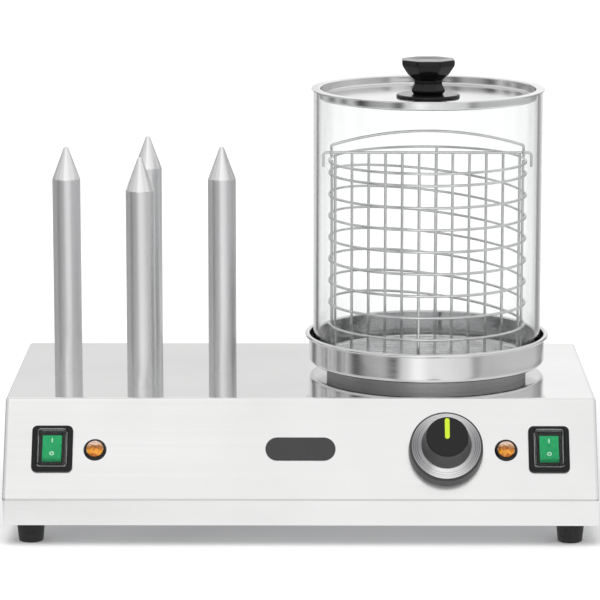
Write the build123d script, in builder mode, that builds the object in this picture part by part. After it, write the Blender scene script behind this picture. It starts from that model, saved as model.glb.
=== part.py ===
from build123d import *
import os
from math import acos, atan2, cos, degrees, hypot, pi, radians, sin, sqrt, tan

# Hot dog spike machine: a heated cabinet with four bun spikes on the left and, on the right,
# a water pan with a glass cylinder, a lid and a two-compartment wire basket.
# Millimetres. X runs right, Y runs back, Z runs up. The origin lies on the standing surface,
# below the middle of the machine's plan.

# Casing
CASE_WIDTH = 500.0
DECK_DEPTH = 240.0
SLOPE_RUN = 50.0  # how far the control panel leans forward
SLOPE_DROP = 76.5  # height of the control panel
STRIP_HEIGHT = 22.0  # upright strip below the control panel
SHEET = 1.0
CASE_EDGE_R = 3.0
FIT = 0.2  # clearance of parts that drop into a cut-out or onto a seat

# Feet
FOOT_HEIGHT = 18.5
FOOT_BOTTOM_R = 10.3
FOOT_TOP_R = 11.7
FOOT_INSET = 22.0  # from the casing's sides, front and back to each foot's axis
FOOT_RECESS_R = 5.5
FOOT_RECESS_DEPTH = 9.0

# Base plate
BASE_FLANGE = 12.0
VENT_LENGTH = 46.0
VENT_WIDTH = 5.0
VENT_PITCH = 16.0
VENT_COUNT = 5
VENT_X = 130.0

# Spikes
SPIKE_X = -137.5
SPIKE_BACK = 121.0  # Y of the spike group's centre, from the deck's front edge
SPIKE_SPREAD = 68.0  # from the group's centre to each spike
SPIKE_R = 12.25
SPIKE_HEIGHT = 198.0
SPIKE_CONE = 28.5
SPIKE_TIP_R = 1.6

# Hot plate below the pan
PLATE_R = 88.0
PLATE_HEIGHT = 6.0

# Water pan
GLASS_X = 110.5
GLASS_BACK = 132.0  # Y of the glass's axis, from the deck's front edge
PAN_R = 103.8
PAN_SHEET = 0.8
PAN_HEIGHT = 26.0
PAN_CORNER = 3.6
PAN_BEAD_R = 1.7

# Glass cylinder
GLASS_R = 100.0
GLASS_WALL = 4.0
GLASS_HEIGHT = 240.0

# Lid
LID_R = 102.0
LID_SHEET = 1.0
LID_DISH_R = 95.0
LID_DISH_DEPTH = 8.5
LID_VENT_R = 2.5
LID_VENT_X = -33.0
LID_VENT_Y = 46.0
KNOB_DISC_R = 27.8
KNOB_DISC_HEIGHT = 2.4
LID_KNOB_SIDES = 8
LID_KNOB_HEIGHT = 30.4
LID_KNOB_BASE_R = 12.5
LID_KNOB_FLARE_R = 14.8
LID_KNOB_NECK_R = 12.0
LID_KNOB_BOWL_R = 18.6
LID_KNOB_TOP_R = 22.9
LID_KNOB_HOLLOW_R = 19.0
LID_KNOB_HOLLOW_DEPTH = 1.0

# Basket
WIRE_R = 1.1
WIRE_SIDES = 4
RING_R = 86.0
RIM_Z = 302.0
COIL_TOP_Z = 291.6
COIL_PITCH = 19.1
COIL_TURNS = 8
ROD_R = 1.1
ROD_FRONT_X = -9.5
ROD_BACK_X = 11.0
FLOOR_PITCH = 8.0
FLOOR_WIRES = 20
CROSS_WIRE_X = 45.0
WELD = 0.1  # how deep the floor's welded wires sink into each other
WIRE_FIT = 0.05  # clearance of wires that lie against each other
DIVIDER_WIRES = 12
DIVIDER_RISE = 6.6  # top wire of the divider above the rim
HOOK_X = 91.5
HOOK_DROP = 12.6
HOOK_BEND_R = 3.0
BAIL_X = 84.3
BAIL_LEG = 6.5
BAIL_RISE = 12.6
BAIL_BEND_R = 2.5
LOOSE = 0.3  # clearance of loose wire eyes and of parts that lift off

# Thermostat dial, measured on the control panel
DIAL_X = 122.3
DIAL_DOWN = 47.7  # distance down the panel from the deck's edge
DIAL_BACK_R = 31.5
DIAL_BACK_HEIGHT = 11.7
DIAL_RING_R = 29.0
DIAL_RING_HEIGHT = 3.3
KNOB_R = 21.25
KNOB_FACE_R = 17.5
KNOB_HEIGHT = 19.7
KNOB_EDGE_CUT = 1.0
POINTER_WIDTH = 4.0
POINTER_HEIGHT = 0.4
SHAFT_R = 3.0
SHAFT_FIT = 0.05
SHAFT_IN_BODY = 12.0
BUSHING_R = 4.8
THERMOSTAT_WIDTH = 34.0
THERMOSTAT_LENGTH = 28.0
THERMOSTAT_DEPTH = 24.0

# Rocker switches, measured on the control panel
SWITCH_X = 209.0
SWITCH_DOWN = 46.5
SWITCH_FRAME_WIDTH = 34.5
SWITCH_FRAME_LENGTH = 41.0
SWITCH_FRAME_HEIGHT = 3.5
SWITCH_FRAME_R = 3.4
BOOT_WIDTH = 24.6
BOOT_LENGTH = 32.7
BOOT_HEIGHT = 9.0
BOOT_EDGE_CUT = 2.5
BOOT_WALL = 0.6
SWITCH_FLANGE_HEIGHT = 1.5
SWITCH_BODY_WIDTH = 20.8
SWITCH_BODY_LENGTH = 28.0
SWITCH_BODY_DEPTH = 20.0
TERMINAL_WIDTH = 6.3
TERMINAL_THICKNESS = 0.8
TERMINAL_LENGTH = 9.0
ROCKER_WIDTH = 16.0
ROCKER_LENGTH = 21.0
ROCKER_TILT = 7.0  # to either side of level
ROCKER_PIVOT_DEPTH = 2.0
ROCKER_TOP = 5.0  # from the pivot to the valley of the rocker's top
ROCKER_KEEL = 4.0  # from the pivot to the rocker's flat underside
ROCKER_PIN_R = 1.5
ROCKER_PIN_LENGTH = 1.4
PIN_FIT = 0.08

# Pilot lamps, measured on the control panel
LAMP_X = 173.0
LAMP_DOWN = 47.0
LAMP_BEZEL_R = 9.75
LAMP_BEZEL_HEIGHT = 2.4
LAMP_LENS_R = 7.0
LAMP_LENS_SKIRT = 3.2
LAMP_LENS_HEIGHT = 6.2
LAMP_BODY_R = 6.0
LAMP_BODY_DEPTH = 20.0

# Badge plate, measured on the control panel
BADGE_DOWN = 46.2
BADGE_WIDTH = 59.0
BADGE_LENGTH = 20.4
BADGE_HEIGHT = 1.5

# Cable gland on the back
GLAND_X = 190.0
GLAND_Z = 62.0
GLAND_R = 11.0
GLAND_BORE_R = 4.5
GLAND_REACH = 10.0
GLAND_THREAD_R = 8.0
GLAND_INSIDE = 8.0

# Levels and places worked out from the sizes above
lean = atan2(SLOPE_RUN, SLOPE_DROP)
base_z = FOOT_HEIGHT
strip_top_z = base_z + STRIP_HEIGHT
deck_z = strip_top_z + SLOPE_DROP
knob_base_height = DIAL_BACK_HEIGHT + DIAL_RING_HEIGHT + LOOSE
knob_face_height = knob_base_height + KNOB_HEIGHT
pointer_length = KNOB_FACE_R - KNOB_EDGE_CUT - POINTER_WIDTH / 8
knob_reach = (DIAL_DOWN + KNOB_FACE_R) * sin(lean) + knob_face_height * cos(lean)
front_y = (max(knob_reach, SLOPE_RUN) - DECK_DEPTH - GLAND_REACH) / 2
rear_y = front_y + DECK_DEPTH
strip_y = front_y - SLOPE_RUN
spike_y = front_y + SPIKE_BACK
glass_y = front_y + GLASS_BACK
pan_z = deck_z + PLATE_HEIGHT
pan_floor_z = pan_z + PAN_SHEET
glass_z = pan_floor_z + FIT
glass_top_z = glass_z + GLASS_HEIGHT
lid_z = glass_top_z + FIT
dish_z = lid_z + LID_SHEET - LID_DISH_DEPTH
knob_disc_z = dish_z + LID_SHEET
lid_knob_z = knob_disc_z + KNOB_DISC_HEIGHT

wire_corner_r = WIRE_R / cos(pi / WIRE_SIDES)
divider_top_z = RIM_Z + DIVIDER_RISE
floor_ring_z = pan_floor_z + FIT + WIRE_R
floor_wire_z = floor_ring_z + 2 * WIRE_R - WELD
rod_circle_r = RING_R - wire_corner_r - WIRE_FIT - ROD_R
eye_r = WIRE_R + wire_corner_r + LOOSE

glass_axis = Axis((GLASS_X, glass_y, 0), (0, 0, 1))
outward = Vector(0, -cos(lean), sin(lean))
up_slope = Vector(0, sin(lean), cos(lean))


def upright(x, y, z=0.0):
    """Plane through a point for profiles turned about Z: local X runs right, local Y up."""
    return Plane(origin=(x, y, z), x_dir=(1, 0, 0), z_dir=(0, -1, 0))


def panel(x, down, height=0.0):
    """Plane on the sloped control panel: local Y runs up the slope, local Z out of the panel."""
    origin = Vector(x, front_y, deck_z) - up_slope * down + outward * height
    return Plane(origin=origin, x_dir=(1, 0, 0), z_dir=outward)


def panel_profile(x, down):
    """Plane square to the control panel for turned parts: local Y runs out of the panel."""
    return Plane(origin=panel(x, down).origin, x_dir=(1, 0, 0), z_dir=-up_slope)


def panel_axis(x, down):
    """Axis that stands square on the control panel."""
    return Axis(panel(x, down).origin, outward)


def rocker_plane(x, tilt):
    """Plane across a rocker's pins: local X runs up the slope, turned by the rocker's tilt."""
    pivot = panel(x, SWITCH_DOWN, -ROCKER_PIVOT_DEPTH).origin
    return Plane(origin=pivot, x_dir=up_slope.rotate(Axis.X, tilt), z_dir=(1, 0, 0))


def wire_section(plane):
    """Faceted section of a basket wire, with flats a full wire diameter apart."""
    with BuildSketch(plane) as section:
        RegularPolygon(WIRE_R, WIRE_SIDES, major_radius=False, rotation=180 / WIRE_SIDES)
    return section.sketch


# Casing: bent sheet, open below, with the cut-outs for everything that passes through it
with BuildPart() as casing_shell:
    with BuildSketch(Plane.YZ):
        with BuildLine():
            Polyline(
                (front_y, deck_z),
                (rear_y, deck_z),
                (rear_y, base_z),
                (strip_y, base_z),
                (strip_y, strip_top_z),
                close=True,
            )
        make_face()
    extrude(amount=CASE_WIDTH / 2, both=True)
    bottom_edges = casing_shell.faces().sort_by(Axis.Z)[0].edges()
    upper_edges = casing_shell.edges().filter_by(lambda edge: edge not in bottom_edges)
    fillet(upper_edges, radius=CASE_EDGE_R)
    offset(amount=-SHEET, openings=casing_shell.faces().sort_by(Axis.Z)[0])
    for side in (-1, 1):
        with BuildSketch(panel(side * SWITCH_X, SWITCH_DOWN)):
            Rectangle(SWITCH_BODY_WIDTH + 2 * FIT, SWITCH_BODY_LENGTH + 2 * FIT)
        with BuildSketch(panel(side * LAMP_X, LAMP_DOWN)):
            Circle(LAMP_BODY_R + FIT)
        extrude(amount=-2 * SHEET, mode=Mode.SUBTRACT)
    with BuildSketch(panel(DIAL_X, DIAL_DOWN)):
        Circle(BUSHING_R + FIT)
    extrude(amount=-2 * SHEET, mode=Mode.SUBTRACT)
    with BuildSketch(upright(GLAND_X, rear_y, GLAND_Z)):
        Circle(GLAND_THREAD_R + FIT)
    extrude(amount=2 * SHEET, both=True, mode=Mode.SUBTRACT)

# Base plate: shallow tray with turned-up flanges and two fields of vent slots
plate_depth = DECK_DEPTH + SLOPE_RUN - 2 * (SHEET + FIT)
plate_y = (strip_y + rear_y) / 2
with BuildPart() as base_plate:
    with BuildSketch(Plane.XY.offset(base_z)):
        with Locations((0, plate_y)):
            RectangleRounded(CASE_WIDTH - 2 * (SHEET + FIT), plate_depth, CASE_EDGE_R - SHEET)
    extrude(amount=BASE_FLANGE)
    offset(amount=-SHEET, openings=base_plate.faces().sort_by(Axis.Z)[-1])
    with BuildSketch(Plane.XY.offset(base_z)):
        for side in (-1, 1):
            with Locations((side * VENT_X, plate_y)):
                with GridLocations(VENT_PITCH, 1, VENT_COUNT, 1):
                    Rectangle(VENT_WIDTH, VENT_LENGTH)
    extrude(amount=SHEET, mode=Mode.SUBTRACT)

# Rubber feet with a recess for the screw head
foot_x = CASE_WIDTH / 2 - FOOT_INSET
with BuildPart() as rubber_feet:
    for x in (-foot_x, foot_x):
        for y in (strip_y + FOOT_INSET, rear_y - FOOT_INSET):
            with BuildSketch(upright(x, y)):
                with BuildLine():
                    Polyline(
                        (0, FOOT_RECESS_DEPTH),
                        (FOOT_RECESS_R, FOOT_RECESS_DEPTH),
                        (FOOT_RECESS_R, 0),
                        (FOOT_BOTTOM_R, 0),
                        (FOOT_TOP_R, FOOT_HEIGHT),
                        (0, FOOT_HEIGHT),
                        close=True,
                    )
                make_face()
            revolve(axis=Axis((x, y, 0), (0, 0, 1)))

# Bun spikes: four pointed aluminium sleeves at the corners of a diamond
cone_z = deck_z + SPIKE_HEIGHT - SPIKE_CONE
spike_tip_z = deck_z + SPIKE_HEIGHT
with BuildPart() as bun_spikes:
    for across, back in ((-SPIKE_SPREAD, 0), (0, -SPIKE_SPREAD), (SPIKE_SPREAD, 0), (0, SPIKE_SPREAD)):
        x = SPIKE_X + across
        y = spike_y + back
        with BuildSketch(upright(x, y)):
            with BuildLine():
                Polyline(
                    (0, deck_z),
                    (SPIKE_R, deck_z),
                    (SPIKE_R, cone_z),
                    (SPIKE_TIP_R, spike_tip_z),
                    (0, spike_tip_z),
                    close=True,
                )
            make_face()
        revolve(axis=Axis((x, y, 0), (0, 0, 1)))

# Hot plate below the pan
with BuildPart() as hot_plate:
    with BuildSketch(Plane.XY.offset(deck_z)):
        with Locations((GLASS_X, glass_y)):
            Circle(PLATE_R)
    extrude(amount=PLATE_HEIGHT)

# Water pan: drawn sheet with a beaded rim
with BuildPart() as water_pan:
    rim_z = pan_z + PAN_HEIGHT - PAN_BEAD_R
    inner_corner = PAN_CORNER - PAN_SHEET
    with BuildSketch(upright(GLASS_X, glass_y)):
        with BuildLine():
            Polyline(
                (0, pan_floor_z),
                (0, pan_z),
                (PAN_R - PAN_CORNER, pan_z),
                (PAN_R, pan_z + PAN_CORNER),
                (PAN_R, rim_z),
                (PAN_R - PAN_SHEET, rim_z),
                (PAN_R - PAN_SHEET, pan_floor_z + inner_corner),
                (PAN_R - PAN_SHEET - inner_corner, pan_floor_z),
                close=True,
            )
        make_face()
        with Locations((PAN_R + PAN_BEAD_R - PAN_SHEET / 2, rim_z)):
            RegularPolygon(PAN_BEAD_R, 6, major_radius=False)
    revolve(axis=glass_axis)

# Glass cylinder, standing on the pan's floor
with BuildPart() as glass_cylinder:
    with BuildSketch(Plane.XY.offset(glass_z)):
        with Locations((GLASS_X, glass_y)):
            Circle(GLASS_R)
            Circle(GLASS_R - GLASS_WALL, mode=Mode.SUBTRACT)
    extrude(amount=GLASS_HEIGHT)

# Lid: a dished sheet whose flange rests on the glass, with a vent hole
with BuildPart() as lid_dish:
    with BuildSketch(upright(GLASS_X, glass_y)):
        with BuildLine():
            Polyline(
                (0, dish_z),
                (LID_DISH_R, dish_z),
                (LID_DISH_R, lid_z),
                (LID_R, lid_z),
                (LID_R, lid_z + LID_SHEET),
                (LID_DISH_R - LID_SHEET, lid_z + LID_SHEET),
                (LID_DISH_R - LID_SHEET, knob_disc_z),
                (0, knob_disc_z),
                close=True,
            )
        make_face()
    revolve(axis=glass_axis)
    with BuildSketch(Plane.XY.offset(dish_z)):
        with Locations((GLASS_X, glass_y)):
            with Locations((LID_VENT_X, LID_VENT_Y)):
                Circle(LID_VENT_R)
    extrude(amount=LID_SHEET, mode=Mode.SUBTRACT)

with BuildPart() as knob_disc:
    with BuildSketch(Plane.XY.offset(knob_disc_z)):
        with Locations((GLASS_X, glass_y)):
            Circle(KNOB_DISC_R)
    extrude(amount=KNOB_DISC_HEIGHT)

# Lid knob: eight-sided and waisted, with a shallow recess in its top
knob_top_z = lid_knob_z + LID_KNOB_HEIGHT
knob_outline = [
    (LID_KNOB_BASE_R, lid_knob_z),
    (LID_KNOB_FLARE_R, lid_knob_z + 0.12 * LID_KNOB_HEIGHT),
    (LID_KNOB_NECK_R, lid_knob_z + 0.28 * LID_KNOB_HEIGHT),
    (LID_KNOB_NECK_R, lid_knob_z + 0.58 * LID_KNOB_HEIGHT),
    (LID_KNOB_BOWL_R, lid_knob_z + 0.80 * LID_KNOB_HEIGHT),
    (LID_KNOB_TOP_R, lid_knob_z + 0.94 * LID_KNOB_HEIGHT),
    (LID_KNOB_TOP_R, knob_top_z),
]
with BuildPart() as lid_knob:
    for i in range(LID_KNOB_SIDES // 2):
        side_on = upright(GLASS_X, glass_y).rotated((0, 0, i * 360 / LID_KNOB_SIDES))
        with BuildSketch(side_on.offset(-2 * LID_KNOB_TOP_R)):
            with BuildLine():
                Polyline(*knob_outline, *[(-r, z) for r, z in reversed(knob_outline)], close=True)
            make_face()
        extrude(amount=4 * LID_KNOB_TOP_R, mode=Mode.INTERSECT if i else Mode.ADD)
    with BuildSketch(Plane.XY.offset(knob_top_z)):
        with Locations((GLASS_X, glass_y)):
            RegularPolygon(LID_KNOB_HOLLOW_R, LID_KNOB_SIDES, major_radius=False, rotation=180 / LID_KNOB_SIDES)
    extrude(amount=-LID_KNOB_HOLLOW_DEPTH, mode=Mode.SUBTRACT)

# Basket: closed rim ring
with BuildPart() as basket_rim:
    ring_start = upright(GLASS_X + RING_R, glass_y, RIM_Z)
    revolve(wire_section(ring_start), axis=glass_axis)

# Basket: one unbroken wire wound round the wall, level in front and falling one pitch behind
with BuildPart() as basket_coil:
    fall_r = hypot(RING_R, COIL_PITCH / 2)
    with BuildLine(Plane.XY.move(Location((GLASS_X, glass_y, 0)))) as coil_path:
        for turn in range(COIL_TURNS):
            z = COIL_TOP_Z - turn * COIL_PITCH
            ThreePointArc((RING_R, 0, z), (0, -RING_R, z), (-RING_R, 0, z))
            if turn < COIL_TURNS - 1:
                ThreePointArc(
                    (-RING_R, 0, z), (0, fall_r, z - COIL_PITCH / 2), (RING_R, 0, z - COIL_PITCH)
                )
    coil_start = upright(GLASS_X + RING_R, glass_y, COIL_TOP_Z)
    sweep(wire_section(coil_start), path=coil_path.wire())

coil_points = [coil_path.wire() @ (i / 480) for i in range(481)]
points_per_half_turn = 480 // (2 * COIL_TURNS - 1)
coil_gap = min(
    (a - b).length
    for i, a in enumerate(coil_points)
    for b in coil_points[i + points_per_half_turn :]
)
print(f"least gap of the coil to itself: {coil_gap - 2 * wire_corner_r:.2f} mm")

# Basket: upright rods just inside the rings
with BuildPart() as basket_rods:
    front_angle = -degrees(acos(ROD_FRONT_X / rod_circle_r))
    back_angle = degrees(acos(ROD_BACK_X / rod_circle_r))
    with BuildSketch(Plane.XY.offset(floor_ring_z - WIRE_R)):
        with Locations((GLASS_X, glass_y)):
            for angle in (0, 180, front_angle, back_angle):
                with PolarLocations(rod_circle_r, 1, start_angle=angle):
                    RegularPolygon(ROD_R, WIRE_SIDES, major_radius=False, rotation=180 / WIRE_SIDES)
    extrude(amount=RIM_Z - floor_ring_z + 2 * WIRE_R)

# Basket: floor of close wires on a ring and two cross wires
with BuildPart() as basket_floor:
    revolve(wire_section(upright(GLASS_X + RING_R, glass_y, floor_ring_z)), axis=glass_axis)
    for side in (-1, 1):
        half = sqrt(RING_R**2 - CROSS_WIRE_X**2)
        start = upright(GLASS_X + side * CROSS_WIRE_X, glass_y, floor_ring_z)
        extrude(wire_section(start), amount=half, both=True)
    for i in range(FLOOR_WIRES):
        back = (i - (FLOOR_WIRES - 1) / 2) * FLOOR_PITCH
        half = sqrt(RING_R**2 - back**2)
        middle = Plane(origin=(GLASS_X, glass_y + back, floor_wire_z), x_dir=(0, 1, 0), z_dir=(1, 0, 0))
        extrude(wire_section(middle), amount=half, both=True)

# Basket: divider of upright wires, hooked over the rim
divider_bottom_z = floor_ring_z + 2 * WIRE_R + WIRE_FIT
divider_half = rod_circle_r - ROD_R - FIT - WIRE_R
divider_pitch = 2 * divider_half / (DIVIDER_WIRES - 1)
with BuildPart() as basket_divider:
    with BuildLine(upright(GLASS_X, glass_y)) as hook_path:
        FilletPolyline(
            (-HOOK_X, divider_top_z - HOOK_DROP),
            (-HOOK_X, divider_top_z),
            (HOOK_X, divider_top_z),
            (HOOK_X, divider_top_z - HOOK_DROP),
            radius=HOOK_BEND_R,
        )
    hook_end = Plane.XY.offset(divider_top_z - HOOK_DROP).move(Location((GLASS_X - HOOK_X, glass_y, 0)))
    sweep(wire_section(hook_end), path=hook_path.wire())
    bottom_start = Plane(origin=(GLASS_X, glass_y, divider_bottom_z), x_dir=(0, 1, 0), z_dir=(1, 0, 0))
    extrude(wire_section(bottom_start), amount=divider_half + WIRE_R, both=True)
    for i in range(DIVIDER_WIRES):
        x = GLASS_X - divider_half + i * divider_pitch
        foot = Plane(origin=(x, glass_y, divider_bottom_z), x_dir=(1, 0, 0), z_dir=(0, 0, 1))
        extrude(wire_section(foot), amount=divider_top_z - divider_bottom_z)

# Basket: bail handle with a wire eye at each end, round the divider's top wire
with BuildPart() as basket_bail:
    for side in (-1, 1):
        eye_start = Plane.XY.offset(divider_top_z).move(
            Location((GLASS_X + side * BAIL_X, glass_y + eye_r, 0))
        )
        eye_axis = Axis((GLASS_X + side * BAIL_X, glass_y, divider_top_z), (1, 0, 0))
        revolve(wire_section(eye_start), axis=eye_axis)
    with BuildLine(upright(GLASS_X, glass_y)) as bail_path:
        leg_top = divider_top_z + BAIL_LEG
        Line((-BAIL_X, divider_top_z + eye_r), (-BAIL_X, leg_top))
        ThreePointArc((-BAIL_X, leg_top), (0, leg_top + BAIL_RISE), (BAIL_X, leg_top))
        Line((BAIL_X, leg_top), (BAIL_X, divider_top_z + eye_r))
        fillet(bail_path.vertices().group_by(Axis.Z)[1], radius=BAIL_BEND_R)
    bail_start = Plane.XY.offset(divider_top_z + eye_r).move(Location((GLASS_X - BAIL_X, glass_y, 0)))
    sweep(wire_section(bail_start), path=bail_path.wire())

# Thermostat dial
with BuildPart() as thermostat_body:
    with BuildSketch(panel(DIAL_X, DIAL_DOWN, -SHEET)):
        Rectangle(THERMOSTAT_WIDTH, THERMOSTAT_LENGTH)
    extrude(amount=-THERMOSTAT_DEPTH)
    with BuildSketch(panel(DIAL_X, DIAL_DOWN, -SHEET)):
        Circle(BUSHING_R)
    extrude(amount=SHEET + DIAL_BACK_HEIGHT / 2)
    with BuildSketch(panel(DIAL_X, DIAL_DOWN, -SHEET - SHAFT_IN_BODY)):
        Circle(SHAFT_R + SHAFT_FIT)
    extrude(amount=2 * SHEET + SHAFT_IN_BODY + DIAL_BACK_HEIGHT, mode=Mode.SUBTRACT)

with BuildPart() as dial_backing:
    with BuildSketch(panel(DIAL_X, DIAL_DOWN)):
        Circle(DIAL_BACK_R)
        Circle(BUSHING_R + FIT, mode=Mode.SUBTRACT)
    extrude(amount=DIAL_BACK_HEIGHT)

with BuildPart() as dial_ring:
    ring_top = DIAL_BACK_HEIGHT + DIAL_RING_HEIGHT
    with BuildSketch(panel_profile(DIAL_X, DIAL_DOWN)):
        with BuildLine():
            Polyline(
                (KNOB_R - DIAL_RING_HEIGHT, DIAL_BACK_HEIGHT),
                (DIAL_RING_R, DIAL_BACK_HEIGHT),
                (KNOB_R + LOOSE, ring_top),
                (KNOB_R - DIAL_RING_HEIGHT, ring_top),
                close=True,
            )
        make_face()
    revolve(axis=panel_axis(DIAL_X, DIAL_DOWN))

# Thermostat knob, on a shaft that turns in the thermostat's bushing
with BuildPart() as thermostat_knob:
    with BuildSketch(panel_profile(DIAL_X, DIAL_DOWN)):
        with BuildLine():
            Polyline(
                (0, knob_base_height),
                (KNOB_R, knob_base_height),
                (KNOB_FACE_R, knob_face_height),
                (0, knob_face_height),
                close=True,
            )
        make_face()
    revolve(axis=panel_axis(DIAL_X, DIAL_DOWN))
    knob_face = thermostat_knob.faces().sort_by(panel_axis(DIAL_X, DIAL_DOWN))[-1]
    chamfer(knob_face.edges(), length=KNOB_EDGE_CUT)

with BuildPart() as knob_pointer:
    with BuildSketch(panel(DIAL_X, DIAL_DOWN, knob_face_height)):
        Circle(POINTER_WIDTH / 2)
        with Locations((0, pointer_length / 2)):
            Rectangle(POINTER_WIDTH, pointer_length)
    extrude(amount=POINTER_HEIGHT)

shaft_length = SHAFT_IN_BODY - FIT + SHEET + knob_base_height
with BuildPart() as thermostat_shaft:
    with BuildSketch(panel(DIAL_X, DIAL_DOWN, knob_base_height)):
        Circle(SHAFT_R)
    extrude(amount=-shaft_length)

# Rocker switches, each in a black frame below a clear boot
rocker_r = hypot(ROCKER_LENGTH / 2, ROCKER_TOP + ROCKER_LENGTH / 2 * tan(radians(ROCKER_TILT)))
well_r = rocker_r + LOOSE
well_width = ROCKER_WIDTH + 2 * LOOSE
flange_width = BOOT_WIDTH - 2 * (BOOT_WALL + FIT)
flange_length = BOOT_LENGTH - 2 * (BOOT_WALL + FIT)
switch_centres = {"left": -SWITCH_X, "right": SWITCH_X}

with BuildPart() as switch_frames:
    for x in switch_centres.values():
        with BuildSketch(panel(x, SWITCH_DOWN)):
            RectangleRounded(SWITCH_FRAME_WIDTH, SWITCH_FRAME_LENGTH, SWITCH_FRAME_R)
            Rectangle(BOOT_WIDTH + 2 * FIT, BOOT_LENGTH + 2 * FIT, mode=Mode.SUBTRACT)
        extrude(amount=SWITCH_FRAME_HEIGHT)

with BuildPart() as switch_boots:
    for x in switch_centres.values():
        with BuildSketch(panel(x, SWITCH_DOWN)):
            Rectangle(BOOT_WIDTH, BOOT_LENGTH)
        extrude(amount=BOOT_HEIGHT)
        crown = switch_boots.faces(Select.LAST).sort_by(panel_axis(x, SWITCH_DOWN))[-1]
        chamfer(crown.edges(), length=BOOT_EDGE_CUT)
    bases = switch_boots.faces().group_by(panel_axis(0, SWITCH_DOWN))[0]
    offset(amount=-BOOT_WALL, openings=bases)

with BuildPart() as switch_bodies:
    for x in switch_centres.values():
        level = rocker_plane(x, 0)
        with BuildSketch(panel(x, SWITCH_DOWN)):
            Rectangle(flange_width, flange_length)
        extrude(amount=SWITCH_FLANGE_HEIGHT)
        with BuildSketch(panel(x, SWITCH_DOWN)):
            Rectangle(SWITCH_BODY_WIDTH, SWITCH_BODY_LENGTH)
        extrude(amount=-SWITCH_BODY_DEPTH)
        with BuildSketch(level):
            Circle(well_r)
        extrude(amount=well_width / 2, both=True, mode=Mode.SUBTRACT)
        with BuildSketch(level):
            Circle(ROCKER_PIN_R + PIN_FIT)
        extrude(amount=ROCKER_WIDTH / 2 + ROCKER_PIN_LENGTH + LOOSE, both=True, mode=Mode.SUBTRACT)
        with BuildSketch(panel(x, SWITCH_DOWN, -SWITCH_BODY_DEPTH)):
            with GridLocations(1, SWITCH_BODY_LENGTH / 3, 1, 3):
                Rectangle(TERMINAL_WIDTH, TERMINAL_THICKNESS)
        extrude(amount=-TERMINAL_LENGTH)

# Rockers, pressed at their upper ends, with shallow-valleyed tops and round undersides
valley_rise = rocker_r * tan(radians(ROCKER_TILT))
rockers = {}
for name, x in switch_centres.items():
    with BuildPart() as rocker:
        with BuildSketch(rocker_plane(x, -ROCKER_TILT)):
            Circle(rocker_r)
            with BuildLine():
                Polyline(
                    (-rocker_r, ROCKER_TOP + valley_rise),
                    (0, ROCKER_TOP),
                    (rocker_r, ROCKER_TOP + valley_rise),
                    (rocker_r, -ROCKER_KEEL),
                    (-rocker_r, -ROCKER_KEEL),
                    close=True,
                )
            make_face(mode=Mode.INTERSECT)
        extrude(amount=ROCKER_WIDTH / 2, both=True)
        with BuildSketch(rocker_plane(x, -ROCKER_TILT)):
            Circle(ROCKER_PIN_R)
        extrude(amount=ROCKER_WIDTH / 2 + ROCKER_PIN_LENGTH, both=True)
    rockers["rocker_" + name] = rocker

# Pilot lamps beside the switches
lens_rise = LAMP_LENS_HEIGHT - LAMP_LENS_SKIRT
lens_dome_r = (LAMP_LENS_R**2 + lens_rise**2) / (2 * lens_rise)
bezel_hole_r = LAMP_LENS_R + FIT

with BuildPart() as lamp_bezels:
    for x in (-LAMP_X, LAMP_X):
        with BuildSketch(panel_profile(x, LAMP_DOWN)):
            with BuildLine():
                Polyline(
                    (bezel_hole_r, 0),
                    (LAMP_BEZEL_R, 0),
                    (LAMP_BEZEL_R - LAMP_BEZEL_HEIGHT / 2, LAMP_BEZEL_HEIGHT),
                    (bezel_hole_r, LAMP_BEZEL_HEIGHT),
                    close=True,
                )
            make_face()
        revolve(axis=panel_axis(x, LAMP_DOWN))

with BuildPart() as lamp_lenses:
    for x in (-LAMP_X, LAMP_X):
        with BuildSketch(panel_profile(x, LAMP_DOWN)):
            with BuildLine():
                Polyline((0, LAMP_LENS_HEIGHT), (0, 0), (LAMP_LENS_R, 0), (LAMP_LENS_R, LAMP_LENS_SKIRT))
                RadiusArc((LAMP_LENS_R, LAMP_LENS_SKIRT), (0, LAMP_LENS_HEIGHT), -lens_dome_r)
            make_face()
        revolve(axis=panel_axis(x, LAMP_DOWN))

with BuildPart() as lamp_bodies:
    for x in (-LAMP_X, LAMP_X):
        with BuildSketch(panel(x, LAMP_DOWN)):
            Circle(LAMP_BODY_R)
        extrude(amount=-LAMP_BODY_DEPTH)

with BuildPart() as badge_plate:
    with BuildSketch(panel(0, BADGE_DOWN)):
        SlotOverall(BADGE_WIDTH, BADGE_LENGTH)
    extrude(amount=BADGE_HEIGHT)

# Cable gland: a threaded inlet through the back with a domed nut
with BuildPart() as cable_gland:
    with BuildSketch(upright(GLAND_X, rear_y, GLAND_Z)):
        RegularPolygon(GLAND_R, 6)
        Circle(GLAND_BORE_R, mode=Mode.SUBTRACT)
    extrude(amount=-GLAND_REACH)
    with BuildSketch(upright(GLAND_X, rear_y, GLAND_Z)):
        Circle(GLAND_THREAD_R)
        Circle(GLAND_BORE_R, mode=Mode.SUBTRACT)
    extrude(amount=GLAND_INSIDE)

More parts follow.
